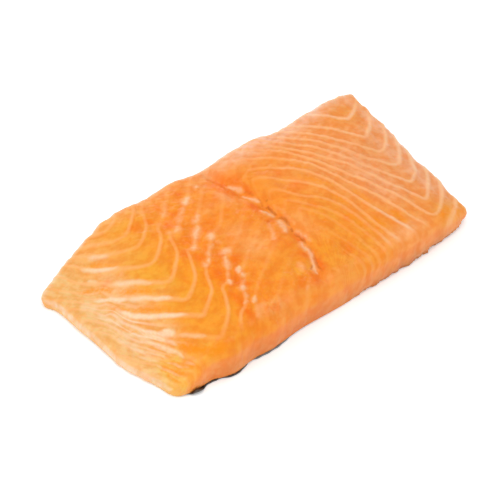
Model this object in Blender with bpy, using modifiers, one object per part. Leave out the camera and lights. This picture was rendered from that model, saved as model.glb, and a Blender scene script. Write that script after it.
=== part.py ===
"""A portion of salmon fillet, cut square across the side and lying skin side down.

X runs across the fish, from the edge along its back (-X) to the belly edge (+X).
Y runs along the fish, and the cut that faces -Y is the front one. The fillet rests on z = 0.
"""

import bpy
import bmesh
import numpy as np

MM = 0.001

# Plan of the fillet in millimetres, seen from above. The long edges give y for x, the ends x for y.
FRONT_CUT = [(-78, -33.5), (-67, -35.8), (-60, -37.0), (-53, -37.0), (-45, -39.6), (-36, -38.7),
             (-28, -39.4), (-15, -38.5), (5, -39.2), (24, -39.6), (34, -39.8), (42, -40.0), (55, -39.0),
             (62, -38.3), (68, -37.6), (78, -37.0)]
BACK_CUT = [(-78, 30.2), (-70, 33.2), (-58, 37.4), (-50, 39.4), (-45, 40.4), (-41, 41.9), (-38, 41.4),
            (-34, 41.6), (-30, 40.9), (-26, 40.4), (-22, 40.5), (-15, 40.6), (-8, 40.8), (0, 39.0),
            (8, 38.4), (18, 39.0), (26, 38.1), (38, 35.5), (50, 36.3), (62, 36.9), (78, 36.0)]
SPINE_END = [(-42, -66.6), (-34, -67.8), (-27, -68.8), (-20, -70.5), (-15, -72.0), (-9, -72.6),
             (0, -72.6), (15, -73.1), (22, -73.2), (25, -73.7), (28, -75.4), (31, -76.6), (38, -77.2)]
BELLY_END = [(-42, 70.2), (-34, 70.1), (-26, 70.3), (-19, 71.6), (-13, 72.2), (-7, 71.9), (0, 72.5),
             (8, 74.1), (18, 75.5), (29, 76.7), (34, 77.6), (38, 77.8)]
CORNER_SHARPNESS = 25.0     # power of the rounded rectangle: a higher power gives tighter corners
PLAN_CENTRE = (0.92, 0.89)  # middle of that outline, which goes to the origin
FIRST_GUESS = (150.0, 78.0)     # a plain rectangle, from which points settle into the outline
SETTLING_ROUNDS = 8

# Height of the top in millimetres along the two long cuts, and how much higher the middle stands.
FRONT_RIM = [(-78, 2.2), (-70, 3.0), (-64, 6.0), (-57, 11.5), (-50, 14.4), (-35, 15.6), (-15, 14.8),
             (5, 13.8), (25, 13.4), (45, 12.8), (56, 11.0), (64, 8.4), (70, 6.0), (78, 5.0)]
BACK_RIM = [(-78, 4.2), (-68, 6.2), (-56, 8.8), (-45, 11.6), (-34, 13.8), (-20, 13.8), (0, 12.8), (15, 13.6),
            (28, 14.6), (42, 13.4), (56, 13.2), (66, 12.4), (72, 11.2), (78, 9.6)]
CROWN = [(-78, 0.0), (-60, 1.4), (-45, 2.4), (-25, 2.4), (-5, 2.6), (20, 2.4), (45, 2.2), (60, 1.6),
         (78, 0.2)]

# Rounding of the top edge in millimetres, by x.
RIM_RADIUS = [(-78, 1.6), (-66, 2.2), (-54, 3.6), (-40, 4.8), (0, 4.6), (25, 3.6), (50, 2.8), (78, 2.0)]
RIM_SHARE = 0.62            # and at most this share of the height there
EDGE_BLEND = 6.0            # power that blends the distances to two sides: a higher one blends less
WALL_BULGE = 0.5            # how far the cut faces swell between skin and rim, millimetres

# The line along the middle of the side, where the bone lay: x for y, with its depth and half width.
MIDLINE = [(-42, -1.5), (-30, 0.8), (-20, 5.0), (-10, 6.8), (0, 7.2), (12, 6.4), (24, 4.4), (40, 3.6)]
MIDLINE_DEPTH = 1.1
MIDLINE_HALF_WIDTH = 2.0
LOIN_BULGE = 0.7            # the muscle beside that line stands this much higher, millimetres
LOIN_BULGE_OFFSET = 9.0
LOIN_BULGE_HALF_WIDTH = 6.0
MIDLINE_FADE = 6.0          # both fade out over this distance from the outline, millimetres

SKIN_THICKNESS = 0.7
SKIN_GAP = 0.3
SKIN_OVERHANG = 0.5         # the skin reaches this far past the flesh along the front cut, millimetres
SKIN_INSET = 0.6            # and stops this far short of it on the other three sides
INSET_SHARPNESS = 8.0       # power with which the skin draws in towards those sides
CURL_START = -62.9          # a flap of skin curls up against the front cut between these two places
CURL_END = -55.4
CURL_EASES = (1.8, 5.0)      # reach of the flap's steep side and of its long one, millimetres
CURL_LENGTH = 2.8
CURL_RADIUS = 1.7
MARGIN_ROWS = 5             # rows of cells in the skin's edge past the front cut
FREE_CORNER_LIFT = 2.3      # the thin belly corner of the front cut lies a little off the table
FREE_CORNER_REACH = 16.0

FLESH_CELLS = (70, 42, 6)   # divisions along x, y and z
SKIN_CELLS = (60, 14)
EDGE_CELL_CROWDING = 5.0    # cells at the outline are about this many times narrower than inside
EDGE_CROWDING_REACH = 0.09
CROWDING_SAMPLES = 4001
SMALLEST_DISTANCE = 1e-3    # millimetres

FLESH_COLOUR = (0.90, 0.26, 0.055, 1.0)
SKIN_COLOUR = (0.055, 0.050, 0.045, 1.0)


def clear_scene():
    """Remove the objects of the start-up scene."""
    for thing in list(bpy.data.objects):
        bpy.data.objects.remove(thing, do_unlink=True)


def curve(knots, at):
    """Smooth curve through (position, value) knots, read at the positions in the array."""
    places = np.array([knot[0] for knot in knots], dtype=float)
    values = np.array([knot[1] for knot in knots], dtype=float)
    slopes = np.gradient(values, places)
    at = np.clip(at, places[0], places[-1])
    left = np.clip(np.searchsorted(places, at, side="right") - 1, 0, len(places) - 2)
    width = places[left + 1] - places[left]
    t = (at - places[left]) / width
    rise = values[left] * (2 * t**3 - 3 * t**2 + 1) + values[left + 1] * (3 * t**2 - 2 * t**3)
    lean = slopes[left] * (t**3 - 2 * t**2 + t) + slopes[left + 1] * (t**3 - t**2)
    return rise + lean * width


def smooth_step(value, low, high):
    """Ease from 0 at low to 1 at high."""
    t = np.clip((value - low) / (high - low), 0.0, 1.0)
    return t * t * (3.0 - 2.0 * t)


def crowded(cells):
    """Positions from -1 to 1 of a row of cells that get narrower towards both ends."""
    fine = np.linspace(-1.0, 1.0, CROWDING_SAMPLES)
    density = 1.0 + (EDGE_CELL_CROWDING - 1.0) * np.exp((np.abs(fine) - 1.0) / EDGE_CROWDING_REACH)
    grown = np.concatenate([[0.0], np.cumsum((density[1:] + density[:-1]) / 2.0)])
    return np.interp(np.linspace(0.0, grown[-1], cells + 1), grown, fine)


def plan_point(u, v):
    """Place a point of the square -1..1 by -1..1 in the plan of the fillet, with its corners rounded."""
    largest = np.maximum(np.abs(u), np.abs(v))
    power_sum = np.abs(u) ** CORNER_SHARPNESS + np.abs(v) ** CORNER_SHARPNESS
    shrink = np.where(largest > 0, largest / np.maximum(power_sum, 1e-30) ** (1.0 / CORNER_SHARPNESS), 1.0)
    across = (u * shrink + 1.0) / 2.0
    along = (v * shrink + 1.0) / 2.0
    x = (across - 0.5) * FIRST_GUESS[0]
    y = (along - 0.5) * FIRST_GUESS[1]
    for _ in range(SETTLING_ROUNDS):
        spine = curve(SPINE_END, y)
        x = spine + (curve(BELLY_END, y) - spine) * across
        front = curve(FRONT_CUT, x)
        y = front + (curve(BACK_CUT, x) - front) * along
    return x, y


def edge_distance(x, y):
    """Distance inside the outline, in millimetres, blended smoothly where two sides meet."""
    to_sides = np.stack([x - curve(SPINE_END, y), curve(BELLY_END, y) - x,
                         y - curve(FRONT_CUT, x), curve(BACK_CUT, x) - y])
    to_sides = np.maximum(to_sides, SMALLEST_DISTANCE)
    return np.sum(to_sides ** -EDGE_BLEND, axis=0) ** (-1.0 / EDGE_BLEND)


def under_height(x, y):
    """Height of the skin's underside: flat on the table but for the free corner."""
    near_belly = smooth_step(x, curve(BELLY_END, y) - FREE_CORNER_REACH, curve(BELLY_END, y))
    near_front = smooth_step(-y, -curve(FRONT_CUT, x) - FREE_CORNER_REACH, -curve(FRONT_CUT, x))
    return FREE_CORNER_LIFT * near_belly * near_front


def top_height(x, y):
    """Height of the top before its rim is rounded."""
    front = curve(FRONT_CUT, x)
    along = np.clip((y - front) / (curve(BACK_CUT, x) - front), 0.0, 1.0)
    height = curve(FRONT_RIM, x) * (1.0 - along) + curve(BACK_RIM, x) * along
    height = height + curve(CROWN, x) * 4.0 * along * (1.0 - along)
    from_midline = x - curve(MIDLINE, y)
    groove = MIDLINE_DEPTH * np.exp(-(from_midline / MIDLINE_HALF_WIDTH) ** 2)
    beside = (np.abs(from_midline) - LOIN_BULGE_OFFSET) / LOIN_BULGE_HALF_WIDTH
    inside = smooth_step(edge_distance(x, y), 0.0, MIDLINE_FADE)
    return height + inside * (LOIN_BULGE * np.exp(-beside ** 2) - groove)


def flesh_point(u, v, w):
    """Place a point of the cube -1..1 on or in the flesh, in millimetres."""
    x, y = plan_point(u, v)
    bottom = under_height(x, y) + SKIN_THICKNESS + SKIN_GAP
    top = top_height(x, y)
    inward = edge_distance(x, y)
    radius = np.minimum(curve(RIM_RADIUS, x), RIM_SHARE * (top - bottom))
    short = np.clip(radius - inward, 0.0, radius)
    drop = radius - np.sqrt(radius ** 2 - short ** 2)
    share = (w + 1.0) / 2.0
    z = bottom + (top - drop - bottom) * share
    outward_x = np.sign(u) * np.abs(u) ** CORNER_SHARPNESS
    outward_y = np.sign(v) * np.abs(v) ** CORNER_SHARPNESS
    swell = WALL_BULGE * np.sin(np.pi * share)
    on_wall = np.maximum(np.abs(u), np.abs(v)) > 0.999
    return x + on_wall * outward_x * swell, y + on_wall * outward_y * swell, z


def add_object(name, mesh, material, collection):
    """Link a mesh to the scene as a named object with its material."""
    thing = bpy.data.objects.new(name, mesh)
    mesh.materials.append(material)
    collection.objects.link(thing)
    return thing


def principled(name, colour, roughness, metallic=0.0):
    """A plain Principled material."""
    material = bpy.data.materials.new(name)
    material.use_nodes = True
    shader = material.node_tree.nodes["Principled BSDF"]
    shader.inputs["Base Color"].default_value = colour
    shader.inputs["Roughness"].default_value = roughness
    shader.inputs["Metallic"].default_value = metallic
    return material


def move_vertices(shape, places):
    """Move each vertex to its x, y and z in millimetres, with the outline's middle at the origin."""
    x, y, z = places
    for index, vert in enumerate(shape.verts):
        vert.co = ((x[index] - PLAN_CENTRE[0]) * MM, (y[index] - PLAN_CENTRE[1]) * MM, z[index] * MM)


def edges_along(shape, axis):
    """Edges of the lattice that run along one axis."""
    found = []
    for edge in shape.edges:
        span = edge.verts[0].co - edge.verts[1].co
        if abs(span[axis]) > 1e-6:
            found.append(edge)
    return found


def build_flesh(collection):
    """The flesh: a cube divided into cells, each corner of which is moved to its place."""
    shape = bmesh.new()
    bmesh.ops.create_cube(shape, size=2.0)
    for axis, cells in enumerate(FLESH_CELLS):
        bmesh.ops.subdivide_edges(shape, edges=edges_along(shape, axis), cuts=cells - 1, use_grid_fill=True)
    even = np.array([vert.co[:] for vert in shape.verts])
    u = np.interp(even[:, 0], np.linspace(-1.0, 1.0, FLESH_CELLS[0] + 1), crowded(FLESH_CELLS[0]))
    v = np.interp(even[:, 1], np.linspace(-1.0, 1.0, FLESH_CELLS[1] + 1), crowded(FLESH_CELLS[1]))
    move_vertices(shape, flesh_point(u, v, even[:, 2]))
    bmesh.ops.recalc_face_normals(shape, faces=shape.faces)
    mesh = bpy.data.meshes.new("flesh")
    shape.to_mesh(mesh)
    shape.free()
    add_object("flesh", mesh, principled("salmon flesh", FLESH_COLOUR, 0.35), collection)


def skin_margin(x):
    """Length of skin past the front cut, in millimetres: a narrow hem, and a flap that curls up."""
    begun = smooth_step(x, CURL_START, CURL_START + CURL_EASES[0])
    ended = smooth_step(x, CURL_END - CURL_EASES[1], CURL_END)
    return SKIN_OVERHANG + CURL_LENGTH * begun * (1.0 - ended)


def skin_point(u, row):
    """Place a point of the skin's underside; the first rows of the sheet lie past the front cut."""
    v = np.interp(row, np.arange(SKIN_CELLS[1] + 1) + MARGIN_ROWS, crowded(SKIN_CELLS[1]))
    x, y = plan_point(u, v)
    x = x - np.sign(u) * np.abs(u) ** INSET_SHARPNESS * SKIN_INSET
    y = y - np.maximum(v, 0.0) ** INSET_SHARPNESS * SKIN_INSET
    length = skin_margin(x) * np.clip(1.0 - row / MARGIN_ROWS, 0.0, 1.0)
    bend = length / CURL_RADIUS
    y = y - CURL_RADIUS * np.sin(bend)
    z = under_height(x, y) + CURL_RADIUS * (1.0 - np.cos(bend))
    return x, y, z


def build_skin(collection):
    """The skin: a sheet under the flesh, given its thickness by Solidify."""
    shape = bmesh.new()
    rows = SKIN_CELLS[1] + MARGIN_ROWS
    bmesh.ops.create_grid(shape, x_segments=SKIN_CELLS[0], y_segments=rows, size=1.0)
    even = np.array([vert.co[:] for vert in shape.verts])
    u = np.interp(even[:, 0], np.linspace(-1.0, 1.0, SKIN_CELLS[0] + 1), crowded(SKIN_CELLS[0]))
    row = (even[:, 1] + 1.0) / 2.0 * rows
    move_vertices(shape, skin_point(u, row))
    mesh = bpy.data.meshes.new("skin")
    shape.to_mesh(mesh)
    shape.free()
    skin = add_object("skin", mesh, principled("salmon skin", SKIN_COLOUR, 0.45), collection)
    thicken = skin.modifiers.new("thickness", "SOLIDIFY")
    thicken.thickness = SKIN_THICKNESS * MM
    thicken.offset = 1.0


def main():
    """Build the fillet in a collection of its own."""
    clear_scene()
    collection = bpy.data.collections.new("salmon fillet")
    bpy.context.scene.collection.children.link(collection)
    build_flesh(collection)
    build_skin(collection)


main()
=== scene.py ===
"""Looks of a raw salmon fillet portion: the flesh with its septa, and the skin under it.

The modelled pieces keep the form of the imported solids. Lengths here are millimetres in the part's own
frame: +X runs from the back of the fish to its belly, +Y along the fish, and the fillet rests on z = 0.
"""

import math

import bmesh
import bpy
import numpy as np
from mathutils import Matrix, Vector


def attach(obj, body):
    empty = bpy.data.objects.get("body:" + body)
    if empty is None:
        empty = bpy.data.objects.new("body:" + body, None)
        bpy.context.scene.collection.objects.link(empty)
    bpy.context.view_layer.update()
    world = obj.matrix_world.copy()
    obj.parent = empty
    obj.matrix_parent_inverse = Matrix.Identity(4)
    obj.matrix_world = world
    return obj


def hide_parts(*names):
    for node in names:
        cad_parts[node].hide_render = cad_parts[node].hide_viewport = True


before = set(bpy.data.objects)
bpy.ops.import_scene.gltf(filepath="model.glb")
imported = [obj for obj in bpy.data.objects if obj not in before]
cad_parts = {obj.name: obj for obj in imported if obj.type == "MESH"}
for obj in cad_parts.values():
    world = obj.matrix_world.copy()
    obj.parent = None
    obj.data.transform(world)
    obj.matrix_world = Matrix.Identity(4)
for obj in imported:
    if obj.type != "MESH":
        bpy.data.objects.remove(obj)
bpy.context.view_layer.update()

MM = 0.001
FAR = 1e9

# Form of the fillet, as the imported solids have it. The long edges give y for x, the ends x for y.
FRONT_CUT = [(-78, -33.5), (-67, -35.8), (-60, -37), (-53, -37), (-45, -39.6), (-36, -38.7), (-28, -39.4),
             (-15, -38.5), (5, -39.2), (24, -39.6), (34, -39.8), (42, -40), (55, -39), (62, -38.3),
             (68, -37.6), (78, -37)]
BACK_CUT = [(-78, 30.2), (-70, 33.2), (-58, 37.4), (-50, 39.4), (-45, 40.4), (-41, 41.9), (-38, 41.4),
            (-34, 41.6), (-30, 40.9), (-26, 40.4), (-22, 40.5), (-15, 40.6), (-8, 40.8), (0, 39), (8, 38.4),
            (18, 39), (26, 38.1), (38, 35.5), (50, 36.3), (62, 36.9), (78, 36)]
SPINE_END = [(-42, -66.6), (-34, -67.8), (-27, -68.8), (-20, -70.5), (-15, -72), (-9, -72.6), (0, -72.6),
             (15, -73.1), (22, -73.2), (25, -73.7), (28, -75.4), (31, -76.6), (38, -77.2)]
BELLY_END = [(-42, 70.2), (-34, 70.1), (-26, 70.3), (-19, 71.6), (-13, 72.2), (-7, 71.9), (0, 72.5),
             (8, 74.1), (18, 75.5), (29, 76.7), (34, 77.6), (38, 77.8)]
NOMINAL_SIZE = (150.0, 78.0)
OUTLINE_ROUNDS = 8          # the long edges and the ends are fitted to each other this often
CORNER_SHARPNESS = 25.0
PLAN_CENTRE = (0.92, 0.89)
FRONT_RIM = [(-78, 2.2), (-70, 3), (-64, 6), (-57, 11.5), (-50, 14.4), (-35, 15.6), (-15, 14.8), (5, 13.8),
             (25, 13.4), (45, 12.8), (56, 11), (64, 8.4), (70, 6), (78, 5)]
BACK_RIM = [(-78, 4.2), (-68, 6.2), (-56, 8.8), (-45, 11.6), (-34, 13.8), (-20, 13.8), (0, 12.8), (15, 13.6),
            (28, 14.6), (42, 13.4), (56, 13.2), (66, 12.4), (72, 11.2), (78, 9.6)]
CROWN = [(-78, 0), (-60, 1.4), (-45, 2.4), (-25, 2.4), (-5, 2.6), (20, 2.4), (45, 2.2), (60, 1.6), (78, 0.2)]
RIM_RADIUS = [(-78, 1.6), (-66, 2.2), (-54, 3.6), (-40, 4.8), (0, 4.6), (25, 3.6), (50, 2.8), (78, 2)]
RIM_SHARE = 0.62
EDGE_BLEND = 6.0
SMALLEST_DISTANCE = 1e-3
SMALLEST_POWER_SUM = 1e-30
WALL_BULGE = 0.5
MIDLINE = [(-42, -1.5), (-30, 0.8), (-20, 5), (-10, 6.8), (0, 7.2), (12, 6.4), (24, 4.4), (40, 3.6)]
MIDLINE_DEPTH = 1.1
MIDLINE_HALF_WIDTH = 2.0
MIDLINE_FADE = 6.0          # the groove fades this near to the edge
LOIN_BULGE = 0.7
LOIN_BULGE_OFFSET = 9.0
LOIN_BULGE_HALF_WIDTH = 6.0
FREE_CORNER_LIFT = 2.3
FREE_CORNER_REACH = 16.0

# The foot of the flesh. HEM_BY_X is how plainly the hem of skin shows along the front cut: where it is 0,
# and at both ends, a lip of flesh hangs over the skin.
SKIN_THICKNESS = 0.7
FOOT_GAP = 0.05             # the flesh as good as touches the skin
HEM_BY_X = [(-78, 0), (-67, 0), (-63, 1), (-54, 1), (-50, 0.9), (-46, 1), (-43, 1), (-39, 0.7), (-36, 0.7),
            (-33, 0.95), (-26, 0.9), (-20, 0.85), (-15, 0.7), (-8, 0.5), (0, 0.2), (10, 0), (78, 0)]
HEM_RAGGEDNESS = ((0.1, 5.0, 31),)      # height, wavelength and seed, as below
LIP_REACH = 1.3
LIP_CLEARANCE = 0.1
LIP_SHARPNESS = 16.0
FOOT_RAGGEDNESS = ((0.3, 11.0, 61), (0.24, 3.4, 63), (0.24, 1.6, 67))
FOOT_INSET = 0.4
BELLY_FOOT = (0.0, 20.0)    # the foot grows ragged over this stretch of x
RAGGED_SHARE = 0.3          # of the height of the wall

# The skin, with its hem, the flap that curls up at one end, and the scales.
SKIN_OVERHANG = 0.35
LEAST_OVERHANG = 0.03
SKIN_INSET = 0.6
SKIN_END_INSET = 1.7
INSET_SHARPNESS = 8.0
CURL_START = -62.9
CURL_END = -55.4
CURL_EASES = (1.8, 5.0)
CURL_LENGTH = 2.8
CURL_RADIUS = 1.7
SCALE_PITCH = 2.6
SCALE_ROW_PITCH = 1.7
SCALE_REACH = (0.58 * SCALE_PITCH, 1.3 * SCALE_ROW_PITCH)
SCALE_RELIEF = 0.09
SCALE_HEIGHT = 0.45         # of the middle of a scale, as a share of the relief
SCALE_TILT = 0.5
SCALE_ROUNDING = 0.5

# Cells of the modelled surfaces.
TOP_CELLS = (340, 184)
WALL_RINGS = 22
SKIN_CELLS = (250, 132)
MARGIN_ROWS = 8
EDGE_CELL_CROWDING = 2.2
EDGE_CROWDING_REACH = 0.09
CROWDING_SAMPLES = 4001     # of the row of cells, from which the crowded places are read

# The septa, the pale sheets between the blocks of muscle, as they show on top. Each line runs from the
# back of the fish to its belly. A line in its family comes one step after the line before it.
BELLY_SEPTA = [
    [(60, 37), (66, 34.2), (71, 35.6), (76, 38.6)],
    [(50, 35.2), (56, 28.6), (59, 25.2), (61, 22.8), (63, 21.9), (67, 23.9), (71, 26.6), (76, 30.6)],
    [(38, 36.2), (44, 30.7), (50.5, 24.6), (55.7, 17.6), (58.8, 11.6), (60.7, 10), (64, 12.2), (68, 15.2),
     (75, 24)],
    [(35, 35.6), (40.7, 29.4), (46.5, 21.6), (50.8, 14.4), (54.2, 8.2), (58.2, 2), (60.2, 0.6), (63, 1.8),
     (67, 5.2), (70, 9), (75, 16.6)],
    [(30, 35.6), (36.7, 27.8), (42.4, 20.9), (47.6, 12.1), (51.2, 2.9), (55.4, -3.8), (57.4, -6.9),
     (60.2, -8.1), (62.8, -6.8), (66, -3.4), (69, 0.8), (73, 7.6)],
    [(26, 35.6), (32.7, 26.8), (38.8, 19.4), (43.6, 11.7), (47, 2.8), (51, -7.4), (55.4, -15.4),
     (57.6, -18.2), (61, -16.3), (64, -13.6), (66.8, -9.2), (73, 2.6)],
    [(23, 35.6), (29.6, 26.2), (35.9, 17.6), (40.8, 8.6), (44.8, 0.4), (47.6, -9.4), (52, -20.9),
     (53.8, -25.6), (55.6, -28.1), (58.6, -26.2), (65.5, -19.2), (73, -9.4)],
    [(18, 35.6), (25.2, 27.2), (31.2, 20), (36.2, 10.2), (39.7, 0.1), (43.8, -10.4), (47.4, -21),
     (50, -31.4), (51.5, -35.2), (53.4, -36), (57, -34.3), (64, -28.2), (72, -17.4)],
    [(9, 24.6), (11.5, 27.6), (14.5, 28.8), (19, 26.6), (26.2, 19.6), (32.2, 12.2), (35.2, 3.6),
     (38.2, -7.4), (41.8, -19), (43.6, -29), (45.6, -37), (48.4, -41.4), (51.4, -42), (56, -40.2), (62, -37),
     (67, -32.6), (72, -26)],
    [(8.6, 15.6), (10, 19.6), (12, 21.6), (15, 21.9), (19, 19.6), (27.2, 11), (31.3, 3.2), (33.9, -7.4),
     (35.6, -19.8), (38, -30), (40.4, -41)],
    [(7.6, 8.6), (9, 12.8), (10.6, 16), (12.4, 17.3), (14.8, 15.4), (20.7, 8.6), (26.3, 1.2), (29.9, -7.8),
     (31.3, -20), (31.6, -30), (33.4, -41)],
    [(7.6, 0.6), (9, 4.4), (10.8, 7.2), (12.8, 8.5), (14.8, 6.2), (19.2, -0.4), (24.5, -6.6), (27.5, -15.4),
     (28.8, -28), (29, -41)],
    [(7.6, -6.4), (9.4, -3), (11.4, -0.8), (13.8, 0.4), (18.2, -6), (23.6, -15.4), (25.4, -28), (26, -41)],
    [(9, -16.4), (10.4, -12), (12.6, -7.8), (15, -6.2), (19.6, -15.4), (21.6, -30), (22, -41)],
    [(8, -26), (10, -21.6), (13, -17), (15, -20), (18, -33), (18.6, -41)],
]
LOIN_SEPTA = [
    [(-52, 40), (-46, 34.2), (-42, 33.6), (-39, 35.2), (-34, 41)],
    [(-57, 38), (-49, 30.2), (-45.5, 27.4), (-42, 25.8), (-39, 26.6), (-32.5, 32), (-26, 40)],
    [(-62, 38), (-58.4, 33.6), (-52, 25.1), (-45, 19.8), (-41.8, 18), (-38.5, 19.1), (-32.4, 24.2),
     (-28.8, 31.2), (-22, 40)],
    [(-64, 36), (-61, 30.6), (-58.6, 24.9), (-54.8, 18.6), (-48.4, 11.6), (-45.4, 9.1), (-42.8, 7.8),
     (-40.3, 8.6), (-34.4, 13.6), (-32, 16.8), (-30.2, 20.6), (-23.4, 25.2), (-17.4, 31.1), (-8, 41)],
    [(-69, 34), (-66.3, 29.7), (-64.5, 24), (-61.5, 19.2), (-58.8, 15.4), (-57.2, 11.2), (-50.8, 4.2),
     (-46, -2.2), (-43.6, -3.4), (-41, -1.8), (-34.8, 3.9), (-32.8, 6.6), (-30, 14), (-26.4, 14.4),
     (-16.6, 22), (-10, 28), (2, 40)],
    [(-72, 29), (-67.1, 20.8), (-64.1, 15.9), (-61.4, 13.5), (-60.8, 10), (-59.6, 6.4), (-53.2, -3),
     (-47.8, -11), (-46, -13.4), (-43.6, -13.4), (-37.8, -9.4), (-35.2, -6.5), (-31.8, 0.4), (-30, 4),
     (-27.6, 3), (-22, 9), (-13, 18.2), (2, 32)],
    [(-77, 28), (-72.2, 22.2), (-68.8, 16.5), (-65.7, 10.4), (-63.4, 8.2), (-62.3, 2.5), (-60.9, -3.8),
     (-56.2, -11.4), (-50.4, -18.2), (-46, -23), (-43.4, -22.2), (-36.8, -17.5), (-34.8, -14.8),
     (-31.8, -8.6), (-28, -5.2), (-20, 3), (-12.4, 7), (-6.4, 13.4), (2, 22)],
    [(-78, 22), (-72.1, 16.5), (-68.7, 11.6), (-66.6, 5.7), (-64.7, 3.8), (-64.1, -2.5), (-62.8, -7.8),
     (-60.6, -14.5), (-58.4, -20.2), (-53.8, -25.8), (-49.8, -32.2), (-47.8, -34.4), (-45.4, -34),
     (-38.8, -28.7), (-34.2, -21.8), (-32.4, -18.4), (-28.4, -16.8), (-24.6, -11), (-20, -5.6), (-13, -3),
     (-6, 2.8), (2, 9)],
    [(-78, 14), (-71.7, 9.2), (-68.9, 4.2), (-67.4, -0.9), (-66.7, -7.1), (-65.3, -12.3), (-63.1, -16.5),
     (-61.5, -21.4), (-60, -27), (-58.6, -33), (-56.6, -39), (-53, -44), (-47, -45), (-42, -40),
     (-35.4, -31.8), (-30.8, -28.8), (-25, -19.6), (-20, -14.6), (-5, -5), (2, -1.4)],
    [(-78, 7), (-72.6, 3), (-70, -1.6), (-68.9, -9.6), (-67.5, -15), (-66, -20), (-64, -24.5),
     (-62.2, -29.4), (-61, -36), (-59, -44), (-54, -50), (-40, -50), (-32, -37), (-27, -29.6), (-19, -22.8),
     (2, -9.4)],
    [(-78, -6), (-72, -11.6), (-69.8, -17.4), (-67.6, -21.7), (-65.6, -26.3), (-64.4, -31.4), (-63.4, -38),
     (-62, -48), (-56, -56), (-30, -56), (-22, -36), (-11, -26.4), (2, -18.4)],
    [(-78, -16), (-72.6, -20.2), (-70, -24.5), (-68.2, -28.9), (-66.9, -34.2), (-66, -41), (-64, -60),
     (-22, -60), (-12, -40), (2, -28)],
]
SEPTA_GRID_STEP = 0.5
SEPTA_GRID_HALF = (84.0, 50.0)
END_REACH = 60.0            # the lines are carried on this far past their ends
LINE_STEPS = 6
WITHIN_GRID = 1.001         # keeps a place inside the last cell of the grid
OUTER_PITCH = 10.0
LEAST_PITCH = 0.8

# How plainly the lines show, by x, and how wide they are.
BELLY_SIDE = (4.0, 8.0)     # between these x the loin's lines give way to the belly's
BELLY_LINES_BY_X = [(2, 0), (8, 0.04), (12, 0.15), (16, 0.38), (20, 0.48), (28, 0.6), (36, 0.72), (46, 0.7),
                    (54, 0.66), (60, 0.7), (68, 0.74), (76, 0.5)]
BELLY_WIDTH_BY_X = [(2, 1.3), (14, 1.4), (20, 1.4), (30, 1.4), (38, 1.45), (46, 1.45), (56, 1.5), (62, 1.6),
                    (76, 1.4)]
LOIN_LINES_BY_X = [(-78, 0.2), (-70, 0.5), (-65, 0.72), (-60, 0.78), (-57, 0.65), (-52, 0.75), (-46, 0.6),
                   (-43, 0.5), (-40, 0.6), (-36, 0.7), (-32, 0.5), (-28, 0.3), (-20, 0.25), (-12, 0.25),
                   (-6, 0.2), (0, 0.05), (4, 0)]
LOIN_WIDTH_BY_X = [(-78, 1), (-63, 1.1), (-57, 1.6), (-50, 2.1), (-43, 1.7), (-38, 1.5), (-32, 1.3),
                   (-20, 1.6), (4, 1.6)]
WIDEST_LINE = 0.3           # half width as a share of the lines' spacing
WALL_FADING_BY_X = [(-78, 1), (-40, 0.95), (0, 0.9), (25, 0.75), (40, 0.6), (50, 0.8), (78, 0.7)]
LINE_FADING_DEPTH = (0.5, 4.0)
FRONT_FADING = 0.75         # the lines fade more on the front cut, by x between the first and last two
FRONT_FADING_BY_X = (14.0, 30.0, 50.0, 58.0)
WALL_LEAN = 0.55            # how far a line moves towards +X for each millimetre down the cut face

# Soft oval patches: x, y, the two reaches, and the strength.
FADED_LINES = [(-53, -21, 3.5, 4, 0.6), (-61, -31, 3.5, 4, 0.5), (-64.5, -27.5, 2.6, 3, 0.6),
               (-69.5, -17, 2.5, 3, 0.35), (16, -24, 11, 12, 0.6), (26, 28, 12, 8, 0.3), (51, 0, 7, 12, 0.4),
               (26, -32, 8, 9, 0.35), (20, -10, 6, 8, 0.35), (-51, -30, 5, 5, 0.5), (-34, -38, 9, 4, 0.8),
               (-42, 24, 7, 7, 0.35), (-8, -28, 14, 10, 0.6), (-66, -30, 6, 9, 0.7), (-55, -39, 9, 6, 0.9),
               (-40, -40, 10, 4, 0.5)]
WHITE_LINES = [(-56, 4, 4, 18, 0.3), (56, 0, 18, 60, 0.3), (68, 0, 5, 34, 0.4), (50, 32, 16, 6, 0.5),
               (62, 20, 8, 8, 0.3), (-63, -12, 6, 14, 0.8), (-66, 4, 5, 14, 0.6), (-64, -30, 4, 8, 0.15),
               (37, -24, 3, 5, 0.4), (38.5, -34, 3, 8, 0.75), (30, -36, 3, 4, 0.6), (33.5, -38, 3, 3, 0.5),
               (58, -20, 9, 16, 0.3)]
FINE_LINES = [(-62, -12, 6, 20, 0.85), (-67, 8, 7, 14, 0.8), (-60, -20, 6, 8, 0.6)]
ROUGH_FLESH = [(-5, -31, 6, 6, 0.9), (-24, -35, 4, 4, 0.8), (1, -2, 5, 14, 0.6), (3, 21, 6, 5, 0.8),
               (-60, -26, 5, 10, 0.4), (-23, 0, 9, 34, 0.6), (16, -30, 8, 7, 0.4)]

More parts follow.
